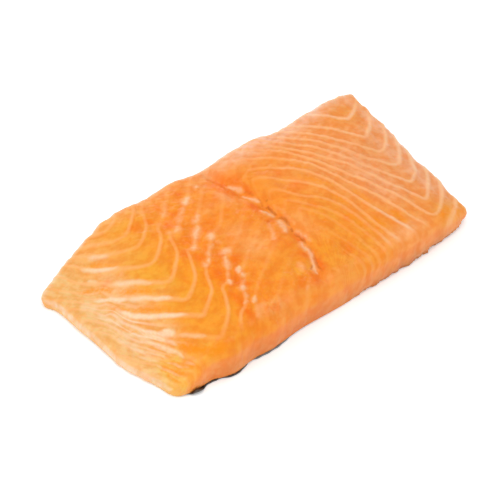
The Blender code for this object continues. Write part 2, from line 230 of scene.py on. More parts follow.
# Streaks and marks: the points of each, its width and its strength.
# The pale streaks, all on the slope at the spine end, are partly the flesh's own pale sheets and partly
# painted highlight of the wet slope.
PALE_STREAKS = [
    ([(-65.8, 13.2), (-63.6, 11), (-61.5, 8.4), (-59.5, 4.9), (-57.5, 1.9)], 1.2, 0.95),
    ([(-58.6, 3.4), (-56, 0), (-53, -3.6), (-50, -7.4), (-47.4, -11)], 1.5, 0.85),
    ([(-63, 3.6), (-62, 0.4), (-61, -2.5), (-59.6, -5.6), (-58.4, -8), (-56, -11), (-53.5, -14.4),
      (-51, -17.5), (-48.6, -20.4)], 1.4, 0.95),
    ([(-59.8, -15.6), (-58.4, -18.2), (-57.2, -20.2), (-56, -22.2)], 1.9, 0.9),
    ([(-64, -6), (-62.4, -12), (-60.6, -17.6), (-59.4, -22), (-58.8, -26)], 1, 0.8),
    ([(-66, -7), (-64.2, -13), (-62.2, -19), (-61, -24), (-60.3, -28), (-59.8, -31)], 1, 0.7),
    ([(-68.6, -10), (-66.8, -15.4), (-64.6, -20.6), (-62.6, -26)], 1.1, 0.6),
    ([(-62.4, -9), (-61.2, -13), (-59.4, -18.4)], 0.9, 0.8),
    ([(-63.4, -17), (-61.8, -22), (-60.8, -27)], 0.8, 0.6),
    ([(-67, -3), (-65.4, -8), (-63.6, -12.6), (-62, -17)], 1, 0.6),
    ([(-69.6, -4), (-68, -9.4), (-66.4, -14)], 1.2, 0.5),
    ([(-58.8, -16), (-57.6, -18.4), (-56.6, -20.4)], 1.1, 1),
    ([(-69, -15), (-67.4, -19.6), (-65.4, -24)], 1, 0.45),
    ([(-64.6, 4), (-63.2, 0), (-62, -4), (-61, -8)], 1.2, 0.35),
    ([(-69, 9), (-67.2, 4.6), (-65.6, 0), (-64.4, -4)], 1.6, 0.35),
    ([(-70.4, 16), (-68, 12.4), (-66, 9)], 2.2, 0.35),
    ([(-67, -23), (-66, -27), (-64.8, -31.6), (-63.2, -36)], 0.8, 0.25),
    ([(-64.5, -24.5), (-63.2, -28.4), (-62, -32), (-60.6, -35.8)], 0.8, 0.22),
    ([(-61.2, -30.6), (-60.4, -33), (-59.2, -36)], 0.8, 0.2),
    ([(-60.6, 28.4), (-59, 25), (-57.6, 22.6), (-55.9, 20.4), (-53.6, 18), (-50.6, 15)], 1.5, 0.8),
    ([(-56.8, 29), (-54.6, 27.4), (-52.2, 25), (-50, 22.6)], 2.2, 0.4),
    ([(-57.8, 12.8), (-55.4, 10), (-53, 7), (-50.4, 3.8), (-47.8, 0)], 2, 0.6),
    ([(-62.4, 21.6), (-61, 19.4), (-59.6, 17.4)], 1.6, 0.4),
    ([(-56.4, -22.6), (-54.4, -25), (-52.4, -28.4), (-50, -31.6)], 1.6, 0.35),
]
AMBER_STREAKS = [
    ([(-67.4, 22), (-64.8, 18.6), (-62, 15), (-60, 12), (-58.2, 8.6)], 2.2, 0.7),
    ([(-59.2, 10.4), (-57, 6.6), (-54.4, 3), (-51.8, -0.6), (-49, -4.6)], 2.2, 0.75),
    ([(-63.4, 7.6), (-62.4, 4), (-61.2, 0.8), (-59.6, -2)], 1.3, 0.6),
    ([(-60.2, -0.8), (-58.2, -4), (-56.2, -6.6), (-53.4, -10.2), (-50.4, -14)], 2.2, 0.8),
    ([(-58.4, 27), (-56.6, 24.6), (-54, 21.4), (-51.6, 19)], 2, 0.5),
    ([(-66.6, -24), (-65.4, -28.4), (-63.8, -33), (-62, -37)], 1.5, 1),
    ([(-64.2, -26), (-62.4, -30.6), (-60.8, -34), (-59.6, -37)], 1.4, 1),
    ([(-61.4, -30.4), (-60.4, -33.4), (-59, -36.6)], 1, 0.7),
    ([(-58.6, -23.6), (-57.6, -27.4), (-56.4, -31), (-54, -34.6), (-50.6, -37.2), (-46, -39.2)], 2.6, 1),
    ([(-67, -28), (-66.4, -32), (-65.4, -36)], 1, 0.7),
    ([(-61.8, -10), (-60.6, -15.4), (-59.8, -20), (-59.2, -24)], 0.7, 0.75),
    ([(-64.6, -12), (-63, -17.6), (-61.6, -22), (-60.8, -26)], 0.7, 0.7),
    ([(-67, -15), (-65.2, -20.4), (-63.6, -25)], 0.8, 0.6),
    ([(-66.4, -2), (-65, -6.4), (-63.6, -10)], 0.7, 0.5), ([(28.4, -6), (28.8, -11), (29.4, -15)], 2.2, 0.6),
    ([(26.4, -17), (26.6, -22), (26.4, -27)], 2.4, 0.6), ([(33.2, -24), (33, -28), (33.4, -32)], 1.5, 0.7),
    ([(36.2, -8), (36.6, -14), (37.2, -20)], 2, 0.6), ([(40.6, -25), (40.4, -30), (41.4, -35)], 2.2, 0.6),
    ([(26.6, 15), (29, 11.8), (31.6, 7.4)], 1.8, 0.5),
    ([(24.4, 9.4), (27.4, 5), (30.2, -1), (31.6, -6)], 2.4, 0.5),
    ([(53, -38), (57, -36.6), (62, -33.6)], 2.6, 0.6), ([(61.4, -39), (64.6, -36.6)], 2, 0.6),
]
FLECKS = [
    ([(-12.2, 25.6), (-14.8, 23.8)], 3.1, 0.95), ([(-16.8, 22.4), (-19.6, 20.6)], 2, 0.6),
    ([(-20.8, 19.4), (-23.2, 17.4)], 2.5, 0.5), ([(-25.2, 15.4), (-26.8, 13.8)], 2.9, 0.7),
    ([(-28.8, 15.8), (-29.6, 14.8)], 2.5, 0.4), ([(-20.2, 29.6), (-22.2, 26.8)], 2.1, 0.4),
    ([(-22.8, 25.6), (-24.8, 24)], 2.9, 0.6), ([(-15.8, 15.4), (-17.2, 14.2), (-19, 13.4)], 2.6, 0.75),
    ([(-19.6, 10.6), (-21.8, 9.2), (-23.6, 7.2)], 3.2, 0.85), ([(-23.8, 6.8), (-26, 5)], 1.8, 0.6),
    ([(-27, 3.8), (-28, 2.8)], 3.1, 0.8), ([(-18.6, 4.8), (-20, 3)], 3.2, 0.9),
    ([(-19.2, 0.8), (-18.8, -0.6)], 2, 0.45), ([(-21.6, 0.4), (-24.4, -1)], 1.8, 0.6),
    ([(-24.8, -1.4), (-26.2, -3.4)], 1.8, 0.7), ([(-27.2, -4.6), (-28.4, -6)], 1.7, 0.85),
    ([(-30, -5.2), (-30.4, -7)], 2.4, 0.75), ([(-18.8, -5.6), (-21.2, -5.2)], 3.4, 0.85),
    ([(-22.4, -7.6), (-24, -10.8), (-25, -12.4)], 2.4, 0.8), ([(-26, -13.6), (-28.4, -16.2)], 1.2, 0.5),
    ([(-28.8, -17.2), (-29, -18.6)], 2.1, 0.95), ([(-21.2, -14), (-23.4, -16)], 1.8, 1),
    ([(-22.6, -17.4), (-22.9, -18.4)], 2.6, 0.85), ([(-23.6, -19.8), (-25.8, -21.4)], 1.5, 0.55),
    ([(-26.8, -22.4), (-27.6, -23.4)], 2.9, 0.95), ([(-27.8, -25.2), (-29.2, -27.4)], 1.7, 0.6),
    ([(-29.6, -28.4), (-31.2, -28.6)], 1.5, 0.75), ([(-26.2, -28.4), (-28.4, -30)], 1.6, 0.85),
    ([(-26, -32.6), (-28.8, -33.6), (-31, -35.8)], 2.6, 0.4), ([(-5.2, 28.8), (-6.2, 28.2)], 2.7, 0.75),
    ([(-52.4, 13.2), (-53.2, 12.8)], 1.8, 0.6), ([(-7.6, -35.8), (-9.2, -36.2)], 1.2, 0.5),
]
# The torn sheet along the midline, and the creases in and beside it; the creases are carved and laid with
# painted shade.
MIDLINE_MARKS = [
    ([(3.7, 21.4), (4.6, 19.6), (5.3, 17.8), (5.7, 16.6)], 2.2, 0.8),
    ([(-3, 20.4), (-2, 17.6), (-1.4, 15)], 3.4, 0.3),
    ([(4.4, 13.8), (5.2, 11.5), (6, 9.4), (6.4, 8)], 1.7, 0.9), ([(2, 12.4), (3, 10.6)], 2.4, 0.3),
    ([(3.6, 2), (4.8, 0.5), (5.2, -1.2)], 2.7, 0.9),
    ([(8.8, 2), (9.2, -2), (8.8, -6), (8.2, -9.6)], 1.6, 0.25),
    ([(0.7, -4.4), (-0.4, -7.4), (-1.8, -10), (-3.2, -11.6)], 1.8, 0.6),
    ([(5.4, -4.4), (5, -6.6), (4.2, -8.8), (3.2, -10.6)], 2.9, 0.85),
    ([(6.7, -12), (7.1, -14), (7.4, -17), (7, -19.8)], 1.5, 0.65),
    ([(4.3, -18), (3.5, -20), (3.2, -21.6)], 2.5, 0.85),
    ([(4.3, -20.4), (4.1, -22), (3.4, -24), (1.9, -26.4), (0.8, -28.4), (-0.3, -30.4), (-1, -32)], 1.5, 0.9),
    ([(-0.2, -29.6), (-1.4, -31.6)], 2.6, 0.7), ([(-3.4, -26), (-4.4, -28.8)], 2.8, 0.6),
    ([(-2.8, 9), (-4, 7)], 1.4, 0.3),
]
CREASES = [
    ([(5.7, 16.6), (6.4, 14.6), (6.9, 12.4), (7.5, 10.8)], 1.1, 0.2),
    ([(7.5, 10.8), (7.2, 8.6), (6.4, 6.4), (5.9, 4.6)], 0.8, 0.25),
    ([(6.7, -9.8), (6.2, -11), (5.9, -12)], 0.9, 0.7),
    ([(5.9, 4.6), (7, 3.2), (6.9, 1), (6.8, -0.8), (7.2, -2)], 0.9, 1),
    ([(6.2, -2.2), (7.2, -3.8), (7.6, -5), (7, -7), (6.7, -9.8)], 1, 1),
    ([(5.9, -12), (5.9, -15.4), (5.6, -17.6), (5.2, -20)], 1, 0.9),
    ([(5.4, -19.4), (4.8, -22), (3.7, -24.4), (2.7, -26.6), (2, -28.4), (1.4, -30.6), (1.1, -34)], 0.9, 0.9),
    ([(0.5, -28.2), (-0.8, -29.4), (-2, -30.4)], 0.6, 0.9), ([(8.9, 6.6), (8.2, 5.2)], 1, 0.4),
    ([(2, -2), (2.6, -3.8)], 2.2, 0.4),
]
MARKS_DEPTH = 1.5           # they are gone this far down the cut faces
STROKE_REACH = 2.1          # a stroke fades out at this many times half its width
FAR_FROM_STROKES = 4.0
STREAK_ENDS = (0.9, 0.45)   # how much the ends of a stroke fade, and how much they taper
FLECK_ENDS = (0.1, 0.3)

# Unevenness, as waves: the height, the wavelength and a seed of each.
WAVES_IN_RIPPLE = 14
RIPPLE_SPREAD = (0.7, 1.5)  # least and most length of a wave, as a share of the ripple's wavelength
RIPPLE_PHASES = 6.3         # a wave starts anywhere in a full turn
STREAK_OUTLINES = ((0.16, 6.0, 41), (0.03, 2.2, 43))
FLECK_OUTLINES = ((0.16, 3.0, 47), (0.06, 1.6, 53))
SWELLS = ((0.16, 12.0, 5), (0.08, 4.0, 8), (0.05, 1.9, 11))
ROUGHNESS = ((0.12, 2.2, 17),)
FINE_LINE_SHIFT = ((0.3, 6.0, 21),)

# Relief, in millimetres.
BELLY_LINE_RISE = 0.30
LOIN_LINE_RISE = 0.28
WHITE_LINE_RISE = 0.12
FINE_LINE_RISE = 0.16
FINE_LINE_HALF = 0.2
LINE_PROFILE = (1.3, 0.02)  # times the half width, and the least
RELIEF_SHARE = 0.15         # of the wall's height, over which the relief grows from its foot
STROKE_RISES = {"fat": 0.24, "streak": 0.14, "crease": -0.5, "amber": -0.12}
SUNKEN = 0.15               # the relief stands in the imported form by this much

# Colours, as red, green and blue from 0 to 1 in linear light.
ORANGE = (0.885, 0.258, 0.016)
ROSE = (0.835, 0.290, 0.078)
PINK = (0.87, 0.49, 0.31)
PEACH = (0.90, 0.44, 0.20)
STRAW = (0.83, 0.465, 0.155)
YELLOW = (0.84, 0.46, 0.07)
GOLD = (0.84, 0.335, 0.026)
AMBER = (0.88, 0.275, 0.004)
BLUSH = (0.88, 0.165, 0.010)
DEEP_ORANGE = (0.88, 0.178, 0.003)
CUT_FACE = (0.84, 0.260, 0.062)
RED_CUT = (0.84, 0.215, 0.045)
SEPTUM = (0.95, 0.437, 0.155)
WHITE_SEPTUM = (0.88, 0.60, 0.39)
# Pale streaks: partly the flesh's own colour, partly painted highlight.
STREAK_AND_HIGHLIGHT = (0.86, 0.67, 0.45)
FAT = (0.91, 0.42, 0.17)
BRIGHT_FAT = (0.92, 0.56, 0.33)
# Painted shade in the creases, over their carved relief.
CREASE_SHADE = (0.52, 0.110, 0.004)
PALE = (0.84, 0.56, 0.29)
PALE_RIM = (0.88, 0.62, 0.40)
BACK_SKIN = (0.060, 0.036, 0.022)
SIDE_SKIN = (0.26, 0.25, 0.235)
BELLY_SKIN = (0.62, 0.60, 0.56)
SPOT_SKIN = (0.012, 0.012, 0.013)
SPOTS_PER_METRE = 90.0
WHITE = (1.0, 1.0, 1.0, 1.0)
FLOOR_WHITE = (0.97, 0.97, 0.97, 1.0)

# Unevenness of the colours. A scale is in cells to the millimetre, and a pair is the least and the most.
GRAIN_SCALE = 0.8
BROAD_SCALE = 0.16
WOBBLE_SCALE = 0.13
MOTTLE_SCALE = 0.34
DEEP_SCALE = 0.26
BLOTCH_SCALE = 0.08
PORE_SCALE = 1.6
FIBRE_SCALES = {"belly": (2.0, 0.16), "loin": (2.6, 0.16)}  # to a step across the septa, and along them
NOISE_RANGE = (0.3, 0.7)    # nearly all of an unevenness lies between these
BROAD_BRIGHTNESS = (0.985, 1.01)
FIBRE_BRIGHTNESS = (0.975, 1.02)
FIBRE_IN_MOTTLE = 0.6
MOTTLE_RANGE = (0.6, 1.0)
MOTTLE = ((0.968, 0.99), (0.9, 1.14), (0.8, 1.42))  # of red, green and blue
LINE_WOBBLE = (0.25, 0.75, -0.22, 0.22)     # the unevenness, and the shift of a line in its half widths
LINE_EDGES = (0.1, 1.6)     # in half widths of a line
FINE_LINE_EDGES = (0.04, 0.28)
LINE_STRENGTHS = (0.85, 1.08)
LINES_ON_AMBER = 0.3
UNEVEN_EDGE = 0.3           # of an amber streak or a crease, and so on for the others
UNEVEN_STREAK = 0.2
UNEVEN_FLECK = 0.16
AMBER_STRENGTH = 0.9
STREAK_STRENGTHS = (0.78, 0.95)
PALE_FLESH_RANGE = (0.45, 0.75)
PALE_FLESH_STRENGTH = 0.4
DEEP_FLESH_RANGE = (0.45, 0.65)
DEEP_FLESH_STRENGTH = 0.7
# How strongly the painted shade of the creases shows.
CREASE_STRENGTH = 0.75
FAT_STRENGTH = 0.8
BRIGHT_FAT_RANGE = (0.4, 0.9)

# Surfaces. A bump is its strength and its height in millimetres.
WET_SURFACE = {"Specular IOR Level": 0.1, "Subsurface Weight": 0.25, "Subsurface Radius": (1.0, 0.4, 0.15),
               "Subsurface Scale": 1.0 * MM, "Coat Weight": 0.14, "Coat Roughness": 0.16}
FLESH_ROUGHNESS = (0.34, 0.48)
FLESH_BUMP = (0.4, 0.12)
SKIN_BUMP = (0.3, 0.1)
SKIN_METALLIC = 0.1

# How the skin's colours follow x, and how its spots and scales show: between which places, and from what
# value to what.
BACK_TO_SIDE = (-55.0, -5.0)
SIDE_TO_BELLY = (10.0, 60.0)
SPOTS_BY_X = (-30.0, 5.0, 1.0, 0.0)
BLOTCH_SHIFT = 8.0
SPOT_BY_DISTANCE = (0.16, 0.24, 0.8, 0.0)
BRIGHTNESS_BY_COVER = (0.1, 0.75, 0.55, 1.15)
ROUGHNESS_BY_COVER = (0.1, 0.8, 0.45, 0.28)

# Broad tones of the flesh, one over the other: the colour, and where it lies as soft oval patches.
TONES = [
    (ROSE, [(54, -2, 22, 32, 0.95), (36, 12, 12, 20, 0.5), (18, 12, 9, 14, 0.15), (62, -26, 12, 12, 0.5)]),
    # The pink patches at y 34 and the peach one at x 12, y 37, along the back cut, are partly the flesh's
    # paler tone there and partly painted sheen of the back rim.
    (PINK, [(71.5, -4, 3.2, 36, 0.7), (30, 34, 26, 7, 0.7), (54, 34, 18, 4, 0.6)]),
    (GOLD, [(64, 28, 6, 5, 0.2)]), (PEACH, [(12, 37, 12, 5, 0.6), (-38, 37, 22, 5, 0.5)]),
    (GOLD, [(62, -36, 8, 5, 0.5)]), (PEACH, [(38, -37, 10, 4, 0.5)]),
    (STRAW, [(-71, 0, 9, 32, 0.85), (-66, 17, 8, 16, 0.65), (-61, -10, 6, 16, 0.35), (-70, 30, 12, 12, 0.7),
     (-56, 30, 8, 8, 0.2)]),
    (YELLOW, [(-67, -31, 5, 9, 0.9)]), (PALE, [(-66.4, -9, 4, 12, 0.2), (-66, 8, 4, 8, 0.2)]),
    (GOLD, [(-62.4, -24, 5, 9, 0.5)]), (PINK, [(64, -12, 4, 24, 0.35)]), (GOLD, [(-47, 4, 9, 34, 0.9)]),
    (STRAW, [(-57, -17, 3.5, 5, 0.4)]), (YELLOW, [(-54, -34, 4, 4, 0.4)]),
    (PALE, [(-57.6, 12, 3, 4, 0.15), (-56.6, 5, 3.6, 17, 0.42)]), (PEACH, [(-50, 24, 8, 10, 0.22)]),
    (GOLD, [(-38, 30, 12, 10, 0.5)]), (AMBER, [(-34, -14, 12, 20, 0.6)]),
    (PEACH, [(-10, -9, 7, 7, 0.25), (-11, 1, 5, 4, 0.2), (-2, 16, 3, 4, 0.35), (11, -12, 4, 8, 0.2)]),
    (PALE, [(-70, -28, 3, 12, 0.4)]), (PEACH, [(-22, -36, 9, 3, 0.25)]), (BLUSH, [(-2, 8, 14, 14, 0.08)]),
    (PINK, [(47, 2, 6, 10, 0.15)]),
    (GOLD, [(-8, -26, 5, 5, 0.4), (14, -32, 14, 8, 0.5), (22, -12, 6, 10, 0.3)]),
    (BLUSH, [(2.5, 25, 3, 4, 0.9), (0.4, 20.4, 2, 2, 0.8), (7, 23, 1.8, 3.4, 0.7), (7, 14, 1.4, 3, 0.8),
     (2.6, 16.4, 1.6, 1.6, 0.6), (2.8, 6.6, 2.2, 4, 1), (2.6, -3, 2, 2.4, 0.8), (0.8, -23, 2, 2, 0.6),
     (4.8, -15, 1.4, 3.6, 0.8), (2.8, -29, 1.4, 4, 0.8), (-3.4, -34.6, 3.2, 2.6, 0.8),
     (1.6, -32, 1.4, 4, 0.6), (-58.4, 14.6, 1.4, 1.4, 0.7), (20.6, 13.6, 1.8, 1.8, 0.4),
     (21, 4, 4, 3, 0.5)]),
    (DEEP_ORANGE, [(-26, -8, 5, 16, 0.4), (-28.8, -2.4, 1.9, 2.3, 0.95), (-29.6, -12, 2.6, 4.2, 1),
     (-20.4, -10.6, 2.8, 2.2, 0.95), (-26.2, -18.6, 2.3, 2.6, 1), (-31.4, -25.5, 2, 4.4, 0.95),
     (-32.8, -33, 1.8, 4, 0.95), (-27, 7.4, 2.8, 2.6, 0.95), (-20.6, 22.4, 3.6, 1.1, 1),
     (-26.6, 18.4, 2.5, 2.2, 0.95), (-24, 28.4, 1.8, 2, 0.75), (-30.2, 24.4, 1.7, 1.7, 0.85),
     (-35.8, 26, 3.8, 1.7, 0.75), (-18.6, 8.4, 2.2, 2, 0.85), (-14, 10.6, 2.8, 3.2, 0.75),
     (-32.4, 2.6, 1.7, 2.2, 0.75), (-23.4, -6.2, 1.4, 2, 0.75), (-12.6, 30, 2, 1.4, 0.85),
     (-24, -22.6, 1.4, 1.2, 0.65), (0.8, 24.6, 2.2, 2.4, 0.5), (-9, -34, 2.6, 1.4, 0.65),
     (-1, -14, 3, 4, 0.55), (15, -31, 3, 4, 0.65), (19.6, -7.4, 1.6, 1.8, 0.65), (25, -19, 1.4, 1.6, 0.65)]),
    (AMBER, [(9, -26, 3, 4, 0.4)]), (DEEP_ORANGE, [(1, 15, 12, 11, 0.11)]), (GOLD, [(-57.5, 25, 3, 4, 0.3)]),
    (YELLOW, [(-61.5, -30, 4, 4, 0.35)]), (PALE, [(-50, -5, 4, 4, 0.15)]), (PINK, [(46, -15, 6, 9, 0.22)]),
    (PEACH, [(4, -38, 14, 3, 0.15)]), (DEEP_ORANGE, [(-27, -19, 3, 7, 0.35)]), (ROSE, [(49, 9, 6, 5, 0.1)]),
    # The pale patch at x -58, y -20 is partly painted highlight.
    (DEEP_ORANGE, [(38, 14, 8, 8, 0.06)]), (PALE, [(-58, -20, 3, 3, 0.2)]),
    (DEEP_ORANGE, [(2.5, 19.5, 6, 5, 0.4), (-19, 15, 3, 3, 0.35), (13.3, -2.8, 4, 4, 0.3),
     (-1.2, -0.4, 3.5, 3.5, 0.2)]),
    (YELLOW, [(-28, 12.6, 3.5, 3.5, 0.15)]), (PEACH, [(-10, 17, 4, 4, 0.15)]),
    (YELLOW, [(-68, -36, 4, 4, 0.4), (-63.6, -28, 2.6, 4, 0.5)]), (GOLD, [(-69.4, -18, 3, 4, 0.2)]),
]
CUT_SHARE = 0.8             # of the cut face's own colour, down the wall and away from the spine end
CUT_DEPTH = 2.5
CUT_FROM_X = (-70.0, -60.0)
RED_CUT_PLACE = (-24.0, 13.0, 0.7)  # x, its reach and the strength
PALE_RIM_REACH = (0.7, 1.5, 3.4)    # from the spine end, the belly end and the back cut
PALE_RIM_SHARE = 0.6
PALE_RIM_DEPTH = (0.2, 2.0)

# Painted shade and painted light on the cut faces. They are painted darker towards their foot and towards the
# belly. The front one is painted lighter above and near the spine end, and painted darker, as a shadow, along
# the ragged part of its foot.
WALL_SHADE = (0.06, 0.14)
WALL_SHADE_BY_X = (0.0, 40.0)
WALL_SHADE_DEPTH = (3.0, 9.0)
FRONT_LIGHT = 0.07
FRONT_LIGHT_DEPTH = (2.0, 6.0)
TIP_LIGHT = 0.08
TIP_LIGHT_BY_X = (-66.0, -60.0, -56.0, -42.0)
FOOT_SHADE = 0.22
FOOT_SHADE_SHARE = 0.22     # of the wall's height
FRONT_REACH = 5.0           # how near to the front cut this goes

# Camera, as the photograph was taken.
CAMERA_AZIMUTH = -40.5
CAMERA_ELEVATION = 45.0
CAMERA_DISTANCE = 900.0
CAMERA_TARGET = (-6.1, -2.1, 6.0)
CAMERA_SCALE = 2.78         # pixels to the millimetre at the target
IMAGE_WIDTH = 500.0
SENSOR_WIDTH = 36.0
CLIPPING = (0.01, 20.0)     # metres

# Soft lamps: azimuth, elevation, distance and size in metres, and power in watts.
LAMPS = {"overhead": (20.0, 76.0, 1.2, 0.9, 6.0), "left": (-112.0, 34.0, 1.2, 0.6, 4.0),
         "right back": (152.0, 14.0, 1.2, 0.7, 2.0)}
SURROUNDING_LIGHT = 0.60
FLOOR_GLOW = 0.2
FLOOR_ROUGHNESS = 0.9
FLOOR_SIZE = 8.0            # metres
FLOOR_DROP = 0.0002         # the floor lies this far under the fillet, in metres


def curve(knots, at):
    """Smooth curve through (position, value) knots, read at the positions in the array."""
    places, values = np.array(knots, dtype=float).T
    slopes = np.gradient(values, places)
    at = np.clip(at, places[0], places[-1])
    left = np.clip(np.searchsorted(places, at, side="right") - 1, 0, len(places) - 2)
    width = places[left + 1] - places[left]
    t = (at - places[left]) / width
    rise = values[left] * (2 * t**3 - 3 * t**2 + 1) + values[left + 1] * (3 * t**2 - 2 * t**3)
    lean = slopes[left] * (t**3 - 2 * t**2 + t) + slopes[left + 1] * (t**3 - t**2)
    return rise + lean * width


def smooth_step(value, low, high):
    """Ease from 0 at low to 1 at high."""
    t = np.clip((value - low) / (high - low), 0.0, 1.0)
    return t * t * (3.0 - 2.0 * t)


def smooth_window(value, low, full, falling, gone):
    """Ease from 0 to 1 between the first two places and back to 0 between the last two."""
    return smooth_step(value, low, full) * (1.0 - smooth_step(value, falling, gone))


def ripple(x, y, wavelength, seed):
    """Smooth seeded unevenness from -1 to 1, made of waves in all directions."""
    draw = np.random.default_rng(seed)
    total = np.zeros(x.shape)
    for _ in range(WAVES_IN_RIPPLE):
        direction = draw.uniform(0.0, 2.0 * math.pi)
        turns = 2.0 * math.pi / (wavelength * draw.uniform(*RIPPLE_SPREAD))
        along = x * math.cos(direction) + y * math.sin(direction)
        total = total + np.sin(along * turns + draw.uniform(0.0, RIPPLE_PHASES))
    return total / math.sqrt(WAVES_IN_RIPPLE)


def waves(x, y, heights, seed_step=0):
    """Sum of several ripples, each given as its height, wavelength and seed."""
    return sum(height * ripple(x, y, wavelength, seed + seed_step) for height, wavelength, seed in heights)


def crowded(cells):
    """Positions from -1 to 1 of a row of cells that get narrower towards both ends."""
    fine = np.linspace(-1.0, 1.0, CROWDING_SAMPLES)
    density = 1.0 + (EDGE_CELL_CROWDING - 1.0) * np.exp((np.abs(fine) - 1.0) / EDGE_CROWDING_REACH)
    grown = np.concatenate([[0.0], np.cumsum((density[1:] + density[:-1]) / 2.0)])
    return np.interp(np.linspace(0.0, grown[-1], cells + 1), grown, fine)


def crowd(even, cells):
    """Move evenly spaced positions of a grid to the crowded ones."""
    return np.interp(even, np.linspace(-1.0, 1.0, cells + 1), crowded(cells))


def plan_point(u, v):
    """Place a point of the square -1..1 by -1..1 in the plan of the fillet, with its corners rounded."""
    largest = np.maximum(np.abs(u), np.abs(v))
    power_sum = np.abs(u) ** CORNER_SHARPNESS + np.abs(v) ** CORNER_SHARPNESS
    rounded = largest / np.maximum(power_sum, SMALLEST_POWER_SUM) ** (1.0 / CORNER_SHARPNESS)
    shrink = np.where(largest > 0, rounded, 1.0)
    across = (u * shrink + 1.0) / 2.0
    along = (v * shrink + 1.0) / 2.0
    x = (across - 0.5) * NOMINAL_SIZE[0]
    y = (along - 0.5) * NOMINAL_SIZE[1]
    for _ in range(OUTLINE_ROUNDS):
        spine = curve(SPINE_END, y)
        x = spine + (curve(BELLY_END, y) - spine) * across
        front = curve(FRONT_CUT, x)
        y = front + (curve(BACK_CUT, x) - front) * along
    return x, y


def to_sides(x, y):
    """Distances from the spine end, the belly end, the back cut and the front cut."""
    return np.stack([x - curve(SPINE_END, y), curve(BELLY_END, y) - x,
                     curve(BACK_CUT, x) - y, y - curve(FRONT_CUT, x)])


def edge_distance(x, y):
    """Distance inside the outline, blended smoothly where two sides meet."""
    distances = np.maximum(to_sides(x, y), SMALLEST_DISTANCE)
    return np.sum(distances ** -EDGE_BLEND, axis=0) ** (-1.0 / EDGE_BLEND)


def under_height(x, y):
    """Height of the skin's underside: flat on the table but for the free corner."""
    near_belly = smooth_step(x, curve(BELLY_END, y) - FREE_CORNER_REACH, curve(BELLY_END, y))
    near_front = smooth_step(-y, -curve(FRONT_CUT, x) - FREE_CORNER_REACH, -curve(FRONT_CUT, x))
    return FREE_CORNER_LIFT * near_belly * near_front


def top_height(x, y):
    """Height of the top before its rim is rounded."""
    front = curve(FRONT_CUT, x)
    along = np.clip((y - front) / (curve(BACK_CUT, x) - front), 0.0, 1.0)
    height = curve(FRONT_RIM, x) * (1.0 - along) + curve(BACK_RIM, x) * along
    height = height + curve(CROWN, x) * 4.0 * along * (1.0 - along)
    from_midline = x - curve(MIDLINE, y)
    groove = MIDLINE_DEPTH * np.exp(-(from_midline / MIDLINE_HALF_WIDTH) ** 2)
    beside = (np.abs(from_midline) - LOIN_BULGE_OFFSET) / LOIN_BULGE_HALF_WIDTH
    inside = smooth_step(edge_distance(x, y), 0.0, MIDLINE_FADE)
    return height + inside * (LOIN_BULGE * np.exp(-beside ** 2) - groove)


def hem_share(x):
    """How plainly the hem of skin shows along the front cut, from 0 to 1."""
    ragged = waves(x, np.zeros(x.shape), HEM_RAGGEDNESS) * (x < 0.0)
    return np.clip(curve(HEM_BY_X, x) + ragged, 0.0, 1.0)


def flesh_point(u, v, share):
    """Place a point of the flesh: share is 1 on top, 0 at the foot of the wall and -1 under its lip."""
    x, y = plan_point(u, v)
    above_skin = under_height(x, y) + SKIN_THICKNESS + FOOT_GAP
    end_lip = np.abs(u) ** LIP_SHARPNESS
    front_lip = (1.0 - hem_share(x)) * np.maximum(-v, 0.0) ** LIP_SHARPNESS
    bottom = above_skin - (SKIN_THICKNESS - LIP_CLEARANCE) * np.maximum(end_lip, front_lip)
    top = top_height(x, y)
    radius = np.minimum(curve(RIM_RADIUS, x), RIM_SHARE * (top - bottom))
    short = np.clip(radius - edge_distance(x, y), 0.0, radius)
    drop = radius - np.sqrt(radius ** 2 - short ** 2)
    z = np.where(share < 0.0, above_skin, bottom + (top - drop - bottom) * share)
    x = np.where(share < 0.0, x - np.sign(u) * end_lip * LIP_REACH, x)
    y = np.where(share < 0.0, y + front_lip * LIP_REACH, y)
    swell = WALL_BULGE * np.sin(np.pi * np.maximum(share, 0.0))
    x = x + np.sign(u) * np.abs(u) ** CORNER_SHARPNESS * swell - PLAN_CENTRE[0]
    y = y + np.sign(v) * np.abs(v) ** CORNER_SHARPNESS * swell - PLAN_CENTRE[1]
    return x, y, z


def uneven_foot(x, share, v):
    """Shift along y that sets the foot of the front cut in and makes it ragged on the belly side."""
    foot = smooth_step(-share, -RAGGED_SHARE, 0.0) * np.maximum(-v, 0.0) ** LIP_SHARPNESS
    ragged = waves(x, np.zeros(x.shape), FOOT_RAGGEDNESS)
    return foot * smooth_step(x, *BELLY_FOOT) * (FOOT_INSET + ragged)


def smooth_line(points):
    """Dense smooth line through a few points, carried on straight past both ends."""
    knots = np.array(points, dtype=float)
    knots = np.vstack([2 * knots[0] - knots[1], knots, 2 * knots[-1] - knots[-2]])
    dense = []
    for index in range(1, len(knots) - 2):
        before, start, end, after = knots[index - 1:index + 3]
        for t in np.linspace(0.0, 1.0, LINE_STEPS, endpoint=False):
            bend = 2 * before - 5 * start + 4 * end - after
            twist = 3 * start - before - 3 * end + after
            dense.append(0.5 * (2 * start + (end - before) * t + bend * t**2 + twist * t**3))
    dense.append(knots[-2])
    ends = []
    for last, before_it in ((dense[0], dense[1]), (dense[-1], dense[-2])):
        ends.append(last + (last - before_it) / np.linalg.norm(last - before_it) * END_REACH)
    return np.vstack([ends[0], dense, ends[1]])


def signed_distance(x, y, line):
    """Distance from each point to a line, positive on its right hand side."""
    best = np.full(x.shape, FAR)
    side = np.ones(x.shape)
    for start, end in zip(line[:-1], line[1:]):
        span = end - start
        away_x = x - start[0]
        away_y = y - start[1]
        t = np.clip((away_x * span[0] + away_y * span[1]) / (span @ span), 0.0, 1.0)
        squared = (away_x - t * span[0]) ** 2 + (away_y - t * span[1]) ** 2
        nearer = squared < best
        best = np.where(nearer, squared, best)
        side = np.where(nearer, np.sign(away_x * span[1] - away_y * span[0]), side)
    return side * np.sqrt(best)


